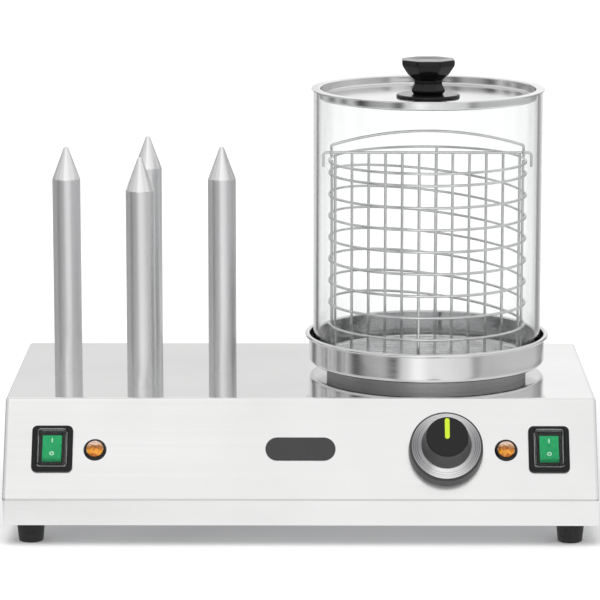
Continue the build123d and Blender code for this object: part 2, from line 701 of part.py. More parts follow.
pieces = {
    "casing_shell": casing_shell,
    "base_plate": base_plate,
    "rubber_feet": rubber_feet,
    "bun_spikes": bun_spikes,
    "hot_plate": hot_plate,
    "water_pan": water_pan,
    "glass_cylinder": glass_cylinder,
    "lid_dish": lid_dish,
    "knob_disc": knob_disc,
    "lid_knob": lid_knob,
    "basket_rim": basket_rim,
    "basket_coil": basket_coil,
    "basket_rods": basket_rods,
    "basket_floor": basket_floor,
    "basket_divider": basket_divider,
    "basket_bail": basket_bail,
    "thermostat_body": thermostat_body,
    "dial_backing": dial_backing,
    "dial_ring": dial_ring,
    "thermostat_knob": thermostat_knob,
    "knob_pointer": knob_pointer,
    "thermostat_shaft": thermostat_shaft,
    "switch_frames": switch_frames,
    "switch_boots": switch_boots,
    "switch_bodies": switch_bodies,
    **rockers,
    "lamp_bezels": lamp_bezels,
    "lamp_lenses": lamp_lenses,
    "lamp_bodies": lamp_bodies,
    "badge_plate": badge_plate,
    "cable_gland": cable_gland,
}

os.makedirs("parts", exist_ok=True)
for name, piece in pieces.items():
    piece.part.label = name
    export_step(piece.part, f"parts/{name}.step")
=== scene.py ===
"""Hot dog spike machine over its solid model: steel cabinet, bun spikes, pan, glass and wire basket."""

from math import acos, atan2, cos, hypot, pi, radians, sin

import bpy
import numpy as np
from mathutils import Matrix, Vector


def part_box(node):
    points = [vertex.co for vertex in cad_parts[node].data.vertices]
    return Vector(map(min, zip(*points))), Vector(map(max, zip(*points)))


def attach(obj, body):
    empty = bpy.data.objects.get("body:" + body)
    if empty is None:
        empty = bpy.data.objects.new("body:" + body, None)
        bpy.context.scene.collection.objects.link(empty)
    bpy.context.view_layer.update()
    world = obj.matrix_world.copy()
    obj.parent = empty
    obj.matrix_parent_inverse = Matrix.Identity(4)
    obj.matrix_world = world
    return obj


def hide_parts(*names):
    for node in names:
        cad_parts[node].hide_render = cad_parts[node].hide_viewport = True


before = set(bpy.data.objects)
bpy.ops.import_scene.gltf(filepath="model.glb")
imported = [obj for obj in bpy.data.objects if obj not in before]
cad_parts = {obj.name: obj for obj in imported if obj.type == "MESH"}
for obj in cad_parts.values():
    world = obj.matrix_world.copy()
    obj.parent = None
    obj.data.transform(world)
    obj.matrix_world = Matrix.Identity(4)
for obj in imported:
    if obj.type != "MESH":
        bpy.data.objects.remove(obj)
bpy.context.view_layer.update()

# Sizes in metres, as in the solid model
SLOPE_RUN = 0.050
SLOPE_DROP = 0.0765

FOOT_BOTTOM_R = 0.0103
FOOT_TOP_R = 0.0121
FOOT_EDGE_R = 0.0012

SPIKE_R = 0.01225
SPIKE_CONE = 0.0285
SPIKE_TIP_R = 0.0016
SPIKE_TIP_ROUND = 0.0019
SPIKE_SHOULDER_R = 0.004

PAN_R = 0.1038
PAN_SHEET = 0.0008
PAN_CORNER = 0.0036
PAN_BEAD_R = 0.0017

GLASS_WALL = 0.004
GLASS_EDGE_R = 0.0008

LID_SHEET = 0.001
LID_DISH_R = 0.095
LID_CORNER = 0.002
LID_EDGE_SHARE = 0.45  # rounding of the sheet's edges, by its thickness
LID_VENT_R = 0.0025
LID_VENT_X = -0.033
LID_VENT_Y = 0.046

KNOB_DISC_EDGES = (0.2, 0.7)  # rounding below and above, by the disc's height
KNOB_SIDES = 8
LID_KNOB_BASE_R = 0.0125
LID_KNOB_FLARE_R = 0.0148
LID_KNOB_NECK_R = 0.0120
LID_KNOB_BOWL_R = 0.0178
LID_KNOB_HOLLOW_R = 0.019
LID_KNOB_HOLLOW_FLOOR_R = 0.009
LID_KNOB_HOLLOW_DEPTH = 0.001

WIRE_R = 0.0012
RING_R = 0.086
ROD_CIRCLE_R = 0.0839
ROD_FRONT_X = -0.0095
ROD_BACK_X = 0.011
COIL_DROP = 0.0104  # from the rim to the wall wire's first turn
COIL_PITCH = 0.0191
COIL_TURNS = 8
FLOOR_PITCH = 0.008
FLOOR_WIRES = 20
CROSS_WIRE_X = 0.045
DIVIDER_WIRES = 12
DIVIDER_HALF = 0.0809
HOOK_X = 0.0915
HOOK_DROP = 0.0126
HOOK_BEND_R = 0.003
BAIL_X = 0.0843
BAIL_EYE_R = 0.00296
BAIL_LEG = 0.0065
BAIL_RISE = 0.0126
BAIL_BEND_R = 0.0025

DIAL_X = 0.1223
DIAL_DOWN = 0.0477
DIAL_BACK_R = 0.0315
DIAL_BACK_TOP_R = 0.0307
DIAL_BACK_HEIGHT = 0.0117
DIAL_BACK_EDGE_R = 0.0012
DIAL_BORE_R = 0.005
DIAL_RING_R = 0.029
DIAL_RING_BORE_R = 0.018
DIAL_RING_LIP = 0.0006
DIAL_RING_HEIGHT = 0.0033
DIAL_GROOVE_DEPTH = 0.00035
DIAL_GROOVE_SHARES = (0.39, 0.61, 0.82)
DIAL_GROOVE_SPREAD = 0.018
DIAL_GAP = 0.0003  # between the knob and the ring
KNOB_R = 0.02125
KNOB_FACE_R = 0.0175
KNOB_BASE = 0.0153
KNOB_HEIGHT = 0.0197
KNOB_EDGE_R = 0.0017
POINTER_WIDTH = 0.004
POINTER_LENGTH = 0.0183
POINTER_HEIGHT = 0.0004
POINTER_EDGE = 0.4  # its bevel, by its height
POINTER_END = 0.98  # its ends' rounding, by half its width

SWITCH_X = 0.209
SWITCH_DOWN = 0.0465
FRAME_WIDTH = 0.0345
FRAME_LENGTH = 0.041
FRAME_HEIGHT = 0.0035
FRAME_CORNER_R = 0.0046
FRAME_OUTER_SHARE = 0.32  # rounding of the frame's section, by its width
FRAME_INNER_SHARE = 0.2
FRAME_INNER_DROP = 0.3  # fall towards the hole, by the frame's height
FRAME_HOLE_WIDTH = 0.025
FRAME_HOLE_LENGTH = 0.0331
FRAME_HOLE_CORNER_R = 0.002
BOOT_WIDTH = 0.0246
BOOT_LENGTH = 0.0327
BOOT_HEIGHT = 0.009
BOOT_CORNER_R = 0.003
BOOT_EDGE_CUT = 0.0025
BOOT_WALL = 0.0006
ROCKER_TILT = radians(7)
ROCKER_PIVOT_DEPTH = 0.002
ROCKER_TOP = 0.005
MARK_REACH = 0.0062  # from the rocker's valley to the middle of each mark
MARK_SIZE = 0.0038
MARK_STROKE = 0.0008
MARK_HEIGHT = 0.00015

LAMP_X = 0.173
LAMP_DOWN = 0.047
LAMP_BEZEL_R = 0.00975
LAMP_BEZEL_HEIGHT = 0.0024
LAMP_BEZEL_LIP_R = 0.0003
LAMP_GAP = 0.0002  # between the lens and its bezel
LAMP_LENS_R = 0.007
LAMP_LENS_SKIRT = 0.0032
LAMP_LENS_HEIGHT = 0.0062
LAMP_FLUTES = 12
LAMP_FLUTE_DEPTH = 0.00022
LAMP_RINGS = 3

BADGE_DOWN = 0.0462
BADGE_WIDTH = 0.059
BADGE_LENGTH = 0.0204
BADGE_HEIGHT = 0.0015
BADGE_EDGE_R = 0.0007
BADGE_END = 0.499  # its ends' rounding, by its length up the panel

POLE_R = 0.0002  # radius of the small flat that closes a turned piece at its axis
GUARD = 0.0005  # from an arc to the nearest point on the straight beside it
STRAIGHT = 0.99999  # cosine past which two edges count as one line
EDGE_POINTS = 8  # points along an arc
BADGE_EDGE_POINTS = 6
BEAD_POINTS = 28
LID_FLOOR_RINGS = 13
RING_FACE_POINTS = 121
ARCH_POINTS = 49
EYE_POINTS = 32
DOME_POINTS = 30
SAME_POINT = 1e-7

# Where a finish changes on its piece
NOISE_LOW = 0.3  # most of a noise pattern lies between these
NOISE_HIGH = 0.7
DECK_EDGE_START = 0.003  # below the deck, from the satin sides to the polished top
DECK_EDGE_END = 0.0005
FOLD_SHADE_HALF = 0.0002  # painted shade line along the front fold
FOLD_SHADE_REACH = 0.0010
FOLD_SHADE_DEPTH = 0.002
FOLD_SHADE_FADE = 0.6
CONE_FADE = 0.0004
CONE_ROUGHNESS = 0.27
KNOB_SIDE_LIGHT_START = 0.0016  # below the knob's face, from the side's painted light to the face's darker tone
KNOB_SIDE_LIGHT_END = 0.0004
LENS_PAINTED_LIGHT = {  # painted shade, glow and sky reflection on the lens, by the height of a point over it
    0.08: (0.45, 0.12, 0.01),
    0.20: (0.92, 0.38, 0.04),
    0.38: (0.62, 0.22, 0.02),
    0.55: (0.24, 0.08, 0.02),
    0.70: (0.50, 0.27, 0.12),
    0.85: (0.74, 0.58, 0.50),
    0.97: (0.42, 0.30, 0.26),
}

# Studio: what a mirror sees round the machine, by compass angle from the camera's side, left to right
STUDIO_TONES = {
    -180: 0.78,
    -160: 0.78,
    -147: 0.15,
    -133: 0.65,
    -117: 0.20,
    -107: 0.60,
    -98: 0.22,
    -88: 0.62,
    -75: 0.07,
    -57: 0.40,
    -43: 0.47,
    -31: 0.13,
    -22: 0.75,
    -10: 1.12,
    3: 0.88,
    36: 0.74,
    44: 0.35,
    54: 0.55,
    90: 0.60,
    121: 0.57,
    136: 0.38,
    148: 0.30,
    162: 0.78,
    180: 0.78,
}
PLAIN_LEVEL = 0.74  # light from all round on matt surfaces
OVERHEAD_SHARE = 0.6  # how far the studio's tones brighten towards the ceiling
OVERHEAD_START = 0.19  # a direction's Z where they begin to, and where they no longer change
OVERHEAD_END = 0.45
FLOOR_TONE = 0.94
FLOOR_GLOW = 0.34  # lifts the lit floor to white for the camera, away from the machine
FLOOR_GLOW_NEAR = 0.03
PLAIN_FLOOR_TONE = 0.98  # what mirrors see of the floor close to the machine
PLAIN_FLOOR_END = 0.50  # distances from the glass's axis
TONED_FLOOR_START = 0.68
FLOOR_GLOW_START = 0.35
FLOOR_GLOW_END = 1.4
FLOOR_WIDTH = 18.0
WHITE = (1, 1, 1, 1)

CAMERA_PLACE = (0.01444, -2.81833, 0.70578)
CAMERA_DIP = 0.183
CAMERA_YAW = 0.0055
CAMERA_LENS = 197.46
CAMERA_SENSOR = 36.0


def corners(node):
    """Lowest and highest corner of a node of the solid model."""
    low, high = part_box(node)
    return np.array(low), np.array(high)


case_low, case_high = corners("casing_shell")
glass_low, glass_high = corners("glass_cylinder")
lean = atan2(SLOPE_RUN, SLOPE_DROP)
front_y = case_low[1] + SLOPE_RUN
deck_z = case_high[2]
right = np.array((1.0, 0.0, 0.0))
up_slope = np.array((0.0, sin(lean), cos(lean)))
outward = np.array((0.0, -cos(lean), sin(lean)))
glass_x, glass_y = (glass_low + glass_high)[:2] / 2


def closed_skin(grid, rows_closed=False, start_closed=True):
    """Points and faces over a grid whose columns close round the form and whose rows run along it.
    Each face joins four neighbours, and a fan to its middle fills an end row. Where the volume that the
    triangles span about their middle comes out negative, every face is turned round."""
    rows, columns = grid.shape[:2]
    index = np.arange(rows * columns).reshape(rows, columns)
    near = index if rows_closed else index[:-1]
    far = np.roll(index, -1, axis=0) if rows_closed else index[1:]
    around = (near, np.roll(near, -1, axis=1), np.roll(far, -1, axis=1), far)
    quads = np.stack(around, axis=-1).reshape(-1, 4)
    points = grid.reshape(-1, 3)
    fans = []
    if not rows_closed and start_closed:
        hub = np.full(columns, len(points))
        fans.append(np.stack((np.roll(index[0], -1), index[0], hub), axis=-1))
        points = np.vstack((points, grid[0].mean(axis=0)))
    if not rows_closed:
        hub = np.full(columns, len(points))
        fans.append(np.stack((index[-1], np.roll(index[-1], -1), hub), axis=-1))
        points = np.vstack((points, grid[-1].mean(axis=0)))
    triangles = np.vstack(fans) if fans else np.empty((0, 3), int)
    halves = np.vstack((quads[:, :3], quads[:, [0, 2, 3]], triangles))
    a, b, c = (points - points.mean(axis=0))[halves].transpose(1, 0, 2)
    if np.einsum("ij,ij", a, np.cross(b, c)) < 0:
        quads, triangles = quads[:, ::-1], triangles[:, ::-1]
    return points, quads, triangles


def make_piece(name, skins, finish, body, replaces=(), crease=32.0):
    """One object of one or more skins, smooth except where faces meet at more than the crease angle."""
    points, faces = [], []
    count = 0
    for skin_points, quads, triangles in skins:
        points.append(skin_points)
        faces += (quads + count).tolist() + (triangles + count).tolist()
        count += len(skin_points)
    mesh = bpy.data.meshes.new(name)
    mesh.from_pydata(np.vstack(points).tolist(), [], faces)
    mesh.polygons.foreach_set("use_smooth", np.ones(len(faces), bool))
    mesh.set_sharp_from_angle(angle=radians(crease))
    mesh.materials.append(finish)
    piece = bpy.data.objects.new(name, mesh)
    bpy.context.scene.collection.objects.link(piece)
    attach(piece, body)
    if replaces:
        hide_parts(*replaces)
    return piece


def soften(outline, radii, closed=False, steps=EDGE_POINTS):
    """Outline with its corners rounded. An arc's centre lies on the corner's bisector, at the radius over
    the sine of half the corner's angle, and its points swing from the touch on one side to the other's.
    A point a little way along each straight beside an arc keeps the arc's shading off the straight."""
    outline = np.array(outline, float)
    radii = np.array(radii, float)[:, None]
    back = np.roll(outline, 1, axis=0) - outline
    ahead = np.roll(outline, -1, axis=0) - outline
    run_back = np.linalg.norm(back, axis=1, keepdims=True)
    run_ahead = np.linalg.norm(ahead, axis=1, keepdims=True)
    back /= run_back
    ahead /= run_ahead
    cosine = (back * ahead).sum(axis=1, keepdims=True)
    half = np.arccos(np.clip(cosine, -STRAIGHT, STRAIGHT)) / 2
    bisector = (back + ahead) / np.linalg.norm(back + ahead, axis=1, keepdims=True)
    centre = outline + bisector * radii / np.sin(half)
    touch = radii / np.tan(half)
    first = outline + back * touch
    last = outline + ahead * touch
    swing = pi - 2 * half
    share = np.linspace(0, 1, steps)
    arcs = np.sin((1 - share) * swing)[..., None] * (first - centre)[:, None]
    arcs += np.sin(share * swing)[..., None] * (last - centre)[:, None]
    arcs = centre[:, None] + arcs / np.sin(swing)[..., None]
    free_back = np.clip(run_back - touch - np.roll(touch, 1, axis=0), 0, None) * (radii > 0)
    free_ahead = np.clip(run_ahead - touch - np.roll(touch, -1, axis=0), 0, None) * (radii > 0)
    before = first + back * np.minimum(GUARD, free_back / 4)
    after = last + ahead * np.minimum(GUARD, free_ahead / 4)
    points = np.concatenate((before[:, None], arcs, after[:, None]), axis=1).reshape(-1, 2)
    apart = np.linalg.norm(points - np.roll(points, 1, axis=0), axis=1) > SAME_POINT
    if not closed:
        apart[0] = True
    return points[apart]


def turned(profile, spans=128):
    """Profile of radius and height carried round an axis: x = r cos t, y = r sin t, z = height."""
    turn = np.linspace(0, 2 * pi, spans, endpoint=False)
    radius, height = np.array(profile).T[..., None]
    return np.stack((radius * np.cos(turn), radius * np.sin(turn), height + 0 * turn), axis=-1)


def eight_sided(profile, sharpness=60, spans=128):
    """Profile of half width and height carried round an axis as a rounded polygon: the radius is the half
    width over the root of the summed powers of the cosines to each pair of flats."""
    turn = np.linspace(0, 2 * pi, spans, endpoint=False)
    flats = np.arange(KNOB_SIDES // 2)[:, None] * 2 * pi / KNOB_SIDES
    swell = (np.abs(np.cos(turn - flats)) ** sharpness).sum(axis=0) ** (-1 / sharpness)
    half_width, height = np.array(profile).T[..., None]
    radius = half_width * swell
    return np.stack((radius * np.cos(turn), radius * np.sin(turn), height + 0 * turn), axis=-1)


def rounded_plates(width, length, corner, height, spans=96):
    """Rounded rectangles, one a row: each point is its corner's centre plus the corner's radius towards the
    turn."""
    turn = (np.arange(spans) + 0.5) * 2 * pi / spans
    sizes = (width, length, corner, height)
    width, length, corner, height = (np.array(size, float).reshape(-1, 1) for size in sizes)
    x = np.sign(np.cos(turn)) * (width / 2 - corner) + corner * np.cos(turn)
    y = np.sign(np.sin(turn)) * (length / 2 - corner) + corner * np.sin(turn)
    return np.stack(np.broadcast_arrays(x, y, height + 0 * turn), axis=-1)


def wire(path, aside, closed=False, sides=12):
    """Round wire along a path: at each point a circle stands square to the path, on axes that are the cross
    products of the path's direction and a fixed direction aside from it."""
    ahead = np.roll(path, -1, axis=0) - np.roll(path, 1, axis=0) if closed else np.gradient(path, axis=0)
    ahead /= np.linalg.norm(ahead, axis=1, keepdims=True)
    across = np.cross(ahead, aside)
    across /= np.linalg.norm(across, axis=1, keepdims=True)
    upright = np.cross(across, ahead)
    turn = np.linspace(0, 2 * pi, sides, endpoint=False)[:, None]
    grid = path[:, None] + WIRE_R * (across[:, None] * np.cos(turn) + upright[:, None] * np.sin(turn))
    return closed_skin(grid, rows_closed=closed)


def on_panel(grid, across, down, height=0.0):
    """Points of the panel's own x, y up the slope and height, set on the sloped panel."""
    origin = np.array((across, front_y, deck_z)) - down * up_slope + height * outward
    return origin + grid @ np.stack((right, up_slope, outward))


def at_glass(grid, z=0.0):
    """Points about the upright axis of the glass."""
    return grid + np.array((glass_x, glass_y, z))


def new_finish(name, colour, **sockets):
    """A finish whose constants are set on the shader's own sockets."""
    finish = bpy.data.materials.new(name)
    finish.use_nodes = True
    shader = finish.node_tree.nodes["Principled BSDF"]
    shader.inputs["Base Color"].default_value = (*colour, 1)
    for socket, value in sockets.items():
        shader.inputs[socket.replace("_", " ")].default_value = value
    return finish


def feed(tree, socket, value):
    """Joins an output to a socket, or sets the socket to a constant."""
    if isinstance(value, bpy.types.NodeSocket):
        tree.links.new(value, socket)
    else:
        socket.default_value = value


def drive(tree, socket, value):
    """Joins an output to one socket of the finish's shader."""
    tree.links.new(value, tree.nodes["Principled BSDF"].inputs[socket])


def math_node(tree, operation, first, second=0, clamp=False):
    """One calculation with one or two values, each an output or a number."""
    node = tree.nodes.new("ShaderNodeMath")
    node.operation = operation
    node.use_clamp = clamp
    feed(tree, node.inputs[0], first)
    feed(tree, node.inputs[1], second)
    return node.outputs["Value"]


def blend(tree, factor, first, second, kind="FLOAT"):
    """Value or colour between two, by a factor."""
    node = tree.nodes.new("ShaderNodeMix")
    node.data_type = kind
    for socket, value in (("Factor", factor), ("A", first), ("B", second)):
        feed(tree, node.inputs[socket], value)
    return node.outputs["Result"]


def split(tree, vector):
    """X, Y and Z of a vector."""
    node = tree.nodes.new("ShaderNodeSeparateXYZ")
    tree.links.new(vector, node.inputs["Vector"])
    return [node.outputs[axis] for axis in "XYZ"]


def colour_ramp(tree, value, stops, interpolation="LINEAR"):
    """Colour by a value, between the colours that are given at rising positions."""
    node = tree.nodes.new("ShaderNodeValToRGB")
    ramp = node.color_ramp
    ramp.interpolation = interpolation
    for place, (position, colour) in enumerate(stops.items()):
        stop = ramp.elements.new(position) if place else ramp.elements[0]
        stop.position = position
        stop.color = (*colour, 1)
    ramp.elements.remove(ramp.elements[-1])
    tree.links.new(value, node.inputs["Fac"])
    return node.outputs["Color"]


def own_coordinates(tree, stretch=(1, 1, 1), centre=(0, 0, 0), turn=(0, 0, 0)):
    """The piece's own coordinates, moved, turned and stretched."""
    coordinates = tree.nodes.new("ShaderNodeTexCoord")
    place = tree.nodes.new("ShaderNodeMapping")
    place.vector_type = "TEXTURE"
    place.inputs["Location"].default_value = centre
    place.inputs["Rotation"].default_value = turn
    place.inputs["Scale"].default_value = tuple(1 / amount for amount in stretch)
    tree.links.new(coordinates.outputs["Object"], place.inputs["Vector"])
    return place.outputs["Vector"]


def panel_coordinates(tree, across, down):
    """Coordinates about a point of the sloped panel: x across, y up the slope, z out of it."""
    origin = tuple(on_panel(np.zeros(3), across, down))
    return own_coordinates(tree, centre=origin, turn=(pi / 2 - lean, 0, 0))


def grain(tree, scale, stretch=(1, 1, 1), detail=4.0):
    """Noise in the piece's own coordinates, finest along the axis that is stretched most."""
    noise = tree.nodes.new("ShaderNodeTexNoise")
    noise.inputs["Scale"].default_value = scale
    noise.inputs["Detail"].default_value = detail
    tree.links.new(own_coordinates(tree, stretch), noise.inputs["Vector"])
    return noise.outputs["Fac"]


def ranged(tree, value, low, high, start=NOISE_LOW, end=NOISE_HIGH):
    """A value carried from the range start to end onto the range low to high, and held at its ends."""
    spread = tree.nodes.new("ShaderNodeMapRange")
    for socket, amount in (("From Min", start), ("From Max", end), ("To Min", low), ("To Max", high)):
        spread.inputs[socket].default_value = amount
    tree.links.new(value, spread.inputs["Value"])
    return spread.outputs["Result"]


def tone(tree, value, dark, light):
    """Base colour between a dark and a light tone, by a pattern."""
    drive(tree, "Base Color", colour_ramp(tree, value, {NOISE_LOW: dark, NOISE_HIGH: light}))


def relief(tree, value, depth):
    """Raises and sinks the surface by a pattern, up to a depth in metres."""
    bump = tree.nodes.new("ShaderNodeBump")
    bump.inputs["Distance"].default_value = depth
    tree.links.new(value, bump.inputs["Height"])
    drive(tree, "Normal", bump.outputs["Normal"])


def bright_sheet():
    """Stainless sheet brushed across the machine: polished on the deck, satin on the sides and the front,
    with a painted shade line along the front fold. Waves of thin metal run through it."""
    finish = new_finish("stainless_casing", (0.86, 0.86, 0.855), Metallic=1.0, Roughness=0.10)
    tree = finish.node_tree
    brushed = grain(tree, scale=60.0, stretch=(0.05, 4, 4))
    satin = ranged(tree, brushed, low=0.20, high=0.27)
    polish = ranged(tree, brushed, low=0.05, high=0.08)
    _, y, z = split(tree, own_coordinates(tree))
    on_deck = ranged(tree, z, 0.0, 1.0, start=deck_z - DECK_EDGE_START, end=deck_z - DECK_EDGE_END)
    drive(tree, "Roughness", blend(tree, on_deck, satin, polish))
    # Painted shade: a dark line along the front fold, lifted back to the light tone behind the fold's
    # plane.
    fold_y = front_y - SLOPE_RUN
    from_fold = math_node(tree, "ABSOLUTE", math_node(tree, "SUBTRACT", z, deck_z - SLOPE_DROP))
    beside = ranged(tree, from_fold, 0.0, FOLD_SHADE_FADE, start=FOLD_SHADE_HALF, end=FOLD_SHADE_REACH)
    behind = ranged(tree, y, 0.0, FOLD_SHADE_FADE, start=fold_y + FOLD_SHADE_DEPTH, end=fold_y + 2 * FOLD_SHADE_DEPTH)
    cloud = ranged(tree, grain(tree, scale=9.0), low=0.0, high=0.1)
    shade = math_node(tree, "ADD", math_node(tree, "MAXIMUM", beside, behind), cloud)
    tone(tree, shade, dark=(0.66, 0.66, 0.655), light=(0.91, 0.91, 0.905))
    relief(tree, grain(tree, scale=5.0, detail=1.0), depth=0.00012)
    return finish


def spun_sheet():
    """Drawn and polished sheet, with a fine grain that runs round the form."""
    finish = new_finish("spun_steel", (0.84, 0.84, 0.84), Metallic=1.0, Roughness=0.12)
    tree = finish.node_tree
    rings = grain(tree, scale=40.0, stretch=(1, 1, 30))
    drive(tree, "Roughness", ranged(tree, rings, low=0.096, high=0.168))
    tone(tree, grain(tree, scale=14.0), dark=(0.80, 0.80, 0.805), light=(0.86, 0.86, 0.86))
    return finish


def sleeve_aluminium(cone_z):
    """Satin aluminium, drawn along its length, with a brighter turned point above a height."""
    finish = new_finish("sleeve_aluminium", (0.86, 0.86, 0.87), Metallic=1.0, Roughness=0.34)
    tree = finish.node_tree
    drawn = ranged(tree, grain(tree, scale=90.0, stretch=(4, 4, 0.1)), low=0.36, high=0.42)
    _, _, z = split(tree, own_coordinates(tree))
    on_cone = ranged(tree, z, 0.0, 1.0, start=cone_z - CONE_FADE, end=cone_z + CONE_FADE)
    drive(tree, "Roughness", blend(tree, on_cone, drawn, CONE_ROUGHNESS))
    tone(tree, on_cone, dark=(0.86, 0.86, 0.87), light=(0.96, 0.96, 0.96))
    return finish


def cast_plate():
    """Cast aluminium with a fine sandy skin."""
    finish = new_finish("cast_plate", (0.50, 0.50, 0.50), Metallic=1.0, Roughness=0.45)
    tree = finish.node_tree
    sand = grain(tree, scale=900.0)
    drive(tree, "Roughness", ranged(tree, sand, low=0.38, high=0.55))
    relief(tree, sand, depth=0.00006)
    return finish


def plated_steel():
    """Zinc plate with faint cloudy spangles."""
    finish = new_finish("plated_steel", (0.56, 0.57, 0.58), Metallic=1.0, Roughness=0.35)
    tree = finish.node_tree
    cloud = grain(tree, scale=70.0)
    drive(tree, "Roughness", ranged(tree, cloud, low=0.28, high=0.45))
    tone(tree, cloud, dark=(0.50, 0.51, 0.53), light=(0.62, 0.62, 0.62))
    return finish


def bright_wire():
    """Polished wire, a little uneven from drawing and welding."""
    finish = new_finish("bright_wire", (0.86, 0.86, 0.87), Metallic=1.0, Roughness=0.16)
    tree = finish.node_tree
    drive(tree, "Roughness", ranged(tree, grain(tree, scale=220.0), low=0.12, high=0.24))
    tone(tree, grain(tree, scale=60.0), dark=(0.72, 0.72, 0.73), light=(0.84, 0.84, 0.84))
    return finish


def dial_chrome():
    """Chrome with turning marks that run round the dial's own axis. Its base colour swings with the cosine
    of twice the angle round the dial: painted highlights and dark sectors, as turned metal shows them."""
    finish = new_finish("dial_chrome", (0.80, 0.80, 0.81), Metallic=1.0, Roughness=0.16)
    tree = finish.node_tree
    place = panel_coordinates(tree, DIAL_X, DIAL_DOWN)
    marks = tree.nodes.new("ShaderNodeTexWave")
    marks.wave_type = "RINGS"
    marks.rings_direction = "Z"
    marks.inputs["Scale"].default_value = 900.0
    marks.inputs["Distortion"].default_value = 0.0
    tree.links.new(place, marks.inputs["Vector"])
    rings = marks.outputs["Fac"]
    drive(tree, "Roughness", ranged(tree, rings, low=0.12, high=0.24, start=0.0, end=1.0))
    relief(tree, rings, depth=0.000025)
    # Painted highlight and shade: light and dark sectors round the dial, by twice the angle.
    x, y, _ = split(tree, place)
    angle = math_node(tree, "ARCTAN2", x, y)
    swing = math_node(tree, "COSINE", math_node(tree, "MULTIPLY", angle, 2.0))
    share = ranged(tree, swing, low=NOISE_LOW, high=NOISE_HIGH, start=-1.0, end=1.0)
    tone(tree, share, dark=(0.36, 0.36, 0.37), light=(0.86, 0.86, 0.86))
    return finish


def clear(name, colour, index, roughness=0.0):
    """Clear material that lets light through to what stands inside it."""
    finish = new_finish(name, colour, Roughness=roughness, IOR=index, Transmission_Weight=1.0)
    nodes, links = finish.node_tree.nodes, finish.node_tree.links
    rays = nodes.new("ShaderNodeLightPath")
    passing = nodes.new("ShaderNodeBsdfTransparent")
    passing.inputs["Color"].default_value = (*colour, 1)
    either = nodes.new("ShaderNodeMixShader")
    links.new(rays.outputs["Is Shadow Ray"], either.inputs["Fac"])
    links.new(nodes["Principled BSDF"].outputs["BSDF"], either.inputs[1])
    links.new(passing.outputs["BSDF"], either.inputs[2])
    links.new(either.outputs["Shader"], nodes["Material Output"].inputs["Surface"])
    return finish


def plastic(name, colour, roughness, texture_scale=700.0, texture_depth=0.00001, shine=0.5):
    """Moulded plastic with the fine even texture of its mould."""
    finish = new_finish(name, colour, Roughness=roughness, Specular_IOR_Level=shine)
    tree = finish.node_tree
    skin = grain(tree, texture_scale)
    drive(tree, "Roughness", ranged(tree, skin, low=roughness * 0.85, high=roughness * 1.25))
    relief(tree, skin, texture_depth)
    dark = tuple(part * 0.92 for part in colour)
    light = tuple(min(1.0, part * 1.06) for part in colour)
    tone(tree, grain(tree, scale=25.0), dark, light)
    return finish


def dial_black_side_lit(face_height):
    """Satin black plastic, with painted light on the tapered side that faces the floor: lighter there than
    on the knob's face.
    """
    finish = plastic("knob_black_side_lit", (0.010, 0.010, 0.010), 0.34, shine=0.25)
    tree = finish.node_tree
    _, _, height = split(tree, panel_coordinates(tree, DIAL_X, DIAL_DOWN))
    # Painted light: the tapered side below the face takes a lighter tone than the face.
    lit_side_to_face = ranged(tree, height, 0.0, 1.0, face_height - KNOB_SIDE_LIGHT_START, face_height - KNOB_SIDE_LIGHT_END)
    tone(tree, lit_side_to_face, dark=(0.050, 0.050, 0.050), light=(0.010, 0.010, 0.010))
    return finish


def amber_lens():
    """Moulded amber lens, painted by the height of a point over it: painted shade where it looks into the
    lamp, a painted orange glow low down and a painted pale reflection of the sky high up."""
    finish = new_finish("amber_lens", (0.78, 0.26, 0.02), Roughness=0.10, IOR=1.49)
    tree = finish.node_tree
    _, y, _ = split(tree, panel_coordinates(tree, 0, LAMP_DOWN))
    height = ranged(tree, y, 0.0, 1.0, start=-LAMP_LENS_R, end=LAMP_LENS_R)
    mottle = ranged(tree, grain(tree, scale=500.0), low=-0.16, high=0.16)
    # Painted light: shade, glow and sky reflection by height, with a random mottle.
    drive(tree, "Base Color", colour_ramp(tree, math_node(tree, "ADD", height, mottle), LENS_PAINTED_LIGHT))
    return finish


stainless = bright_sheet()
spun_steel = spun_sheet()
wires = bright_wire()
plated = plated_steel()
gloss_black = plastic("gloss_black", (0.008, 0.008, 0.008), 0.10, 300.0, 0.000004, shine=0.3)
knob_black_side_lit = dial_black_side_lit(KNOB_BASE + KNOB_HEIGHT)
matte_black = plastic("matte_black", (0.010, 0.010, 0.010), 0.42, shine=0.2)
rubber = plastic("foot_rubber", (0.016, 0.016, 0.017), 0.62, 500.0, 0.00003, shine=0.35)
rocker_green = plastic("rocker_green", (0.004, 0.33, 0.11), 0.26, 400.0, 0.000004, shine=0.25)
mark_pale = plastic("mark_pale", (0.62, 0.85, 0.72), 0.35)
pointer_yellow = plastic("pointer_yellow", (0.50, 0.68, 0.012), 0.45)
badge_grey = plastic("badge_grey", (0.040, 0.040, 0.042), 0.30, shine=0.3)


def make_feet():
    """Four tapered feet with rounded treads, each turned about its own axis."""
    low, high = corners("rubber_feet")
    height = high[2] - low[2]
    outline = [(POLE_R, 0), (FOOT_BOTTOM_R, 0), (FOOT_TOP_R, height), (POLE_R, height)]
    foot = turned(soften(outline, (0, FOOT_EDGE_R, 0, 0)))
    inner_low, inner_high = low[:2] + FOOT_TOP_R, high[:2] - FOOT_TOP_R
    spots = [(x, y, low[2]) for x in (inner_low[0], inner_high[0]) for y in (inner_low[1], inner_high[1])]
    skins = [closed_skin(foot + np.array(spot)) for spot in spots]
    make_piece("feet", skins, rubber, "cabinet", ["rubber_feet"])


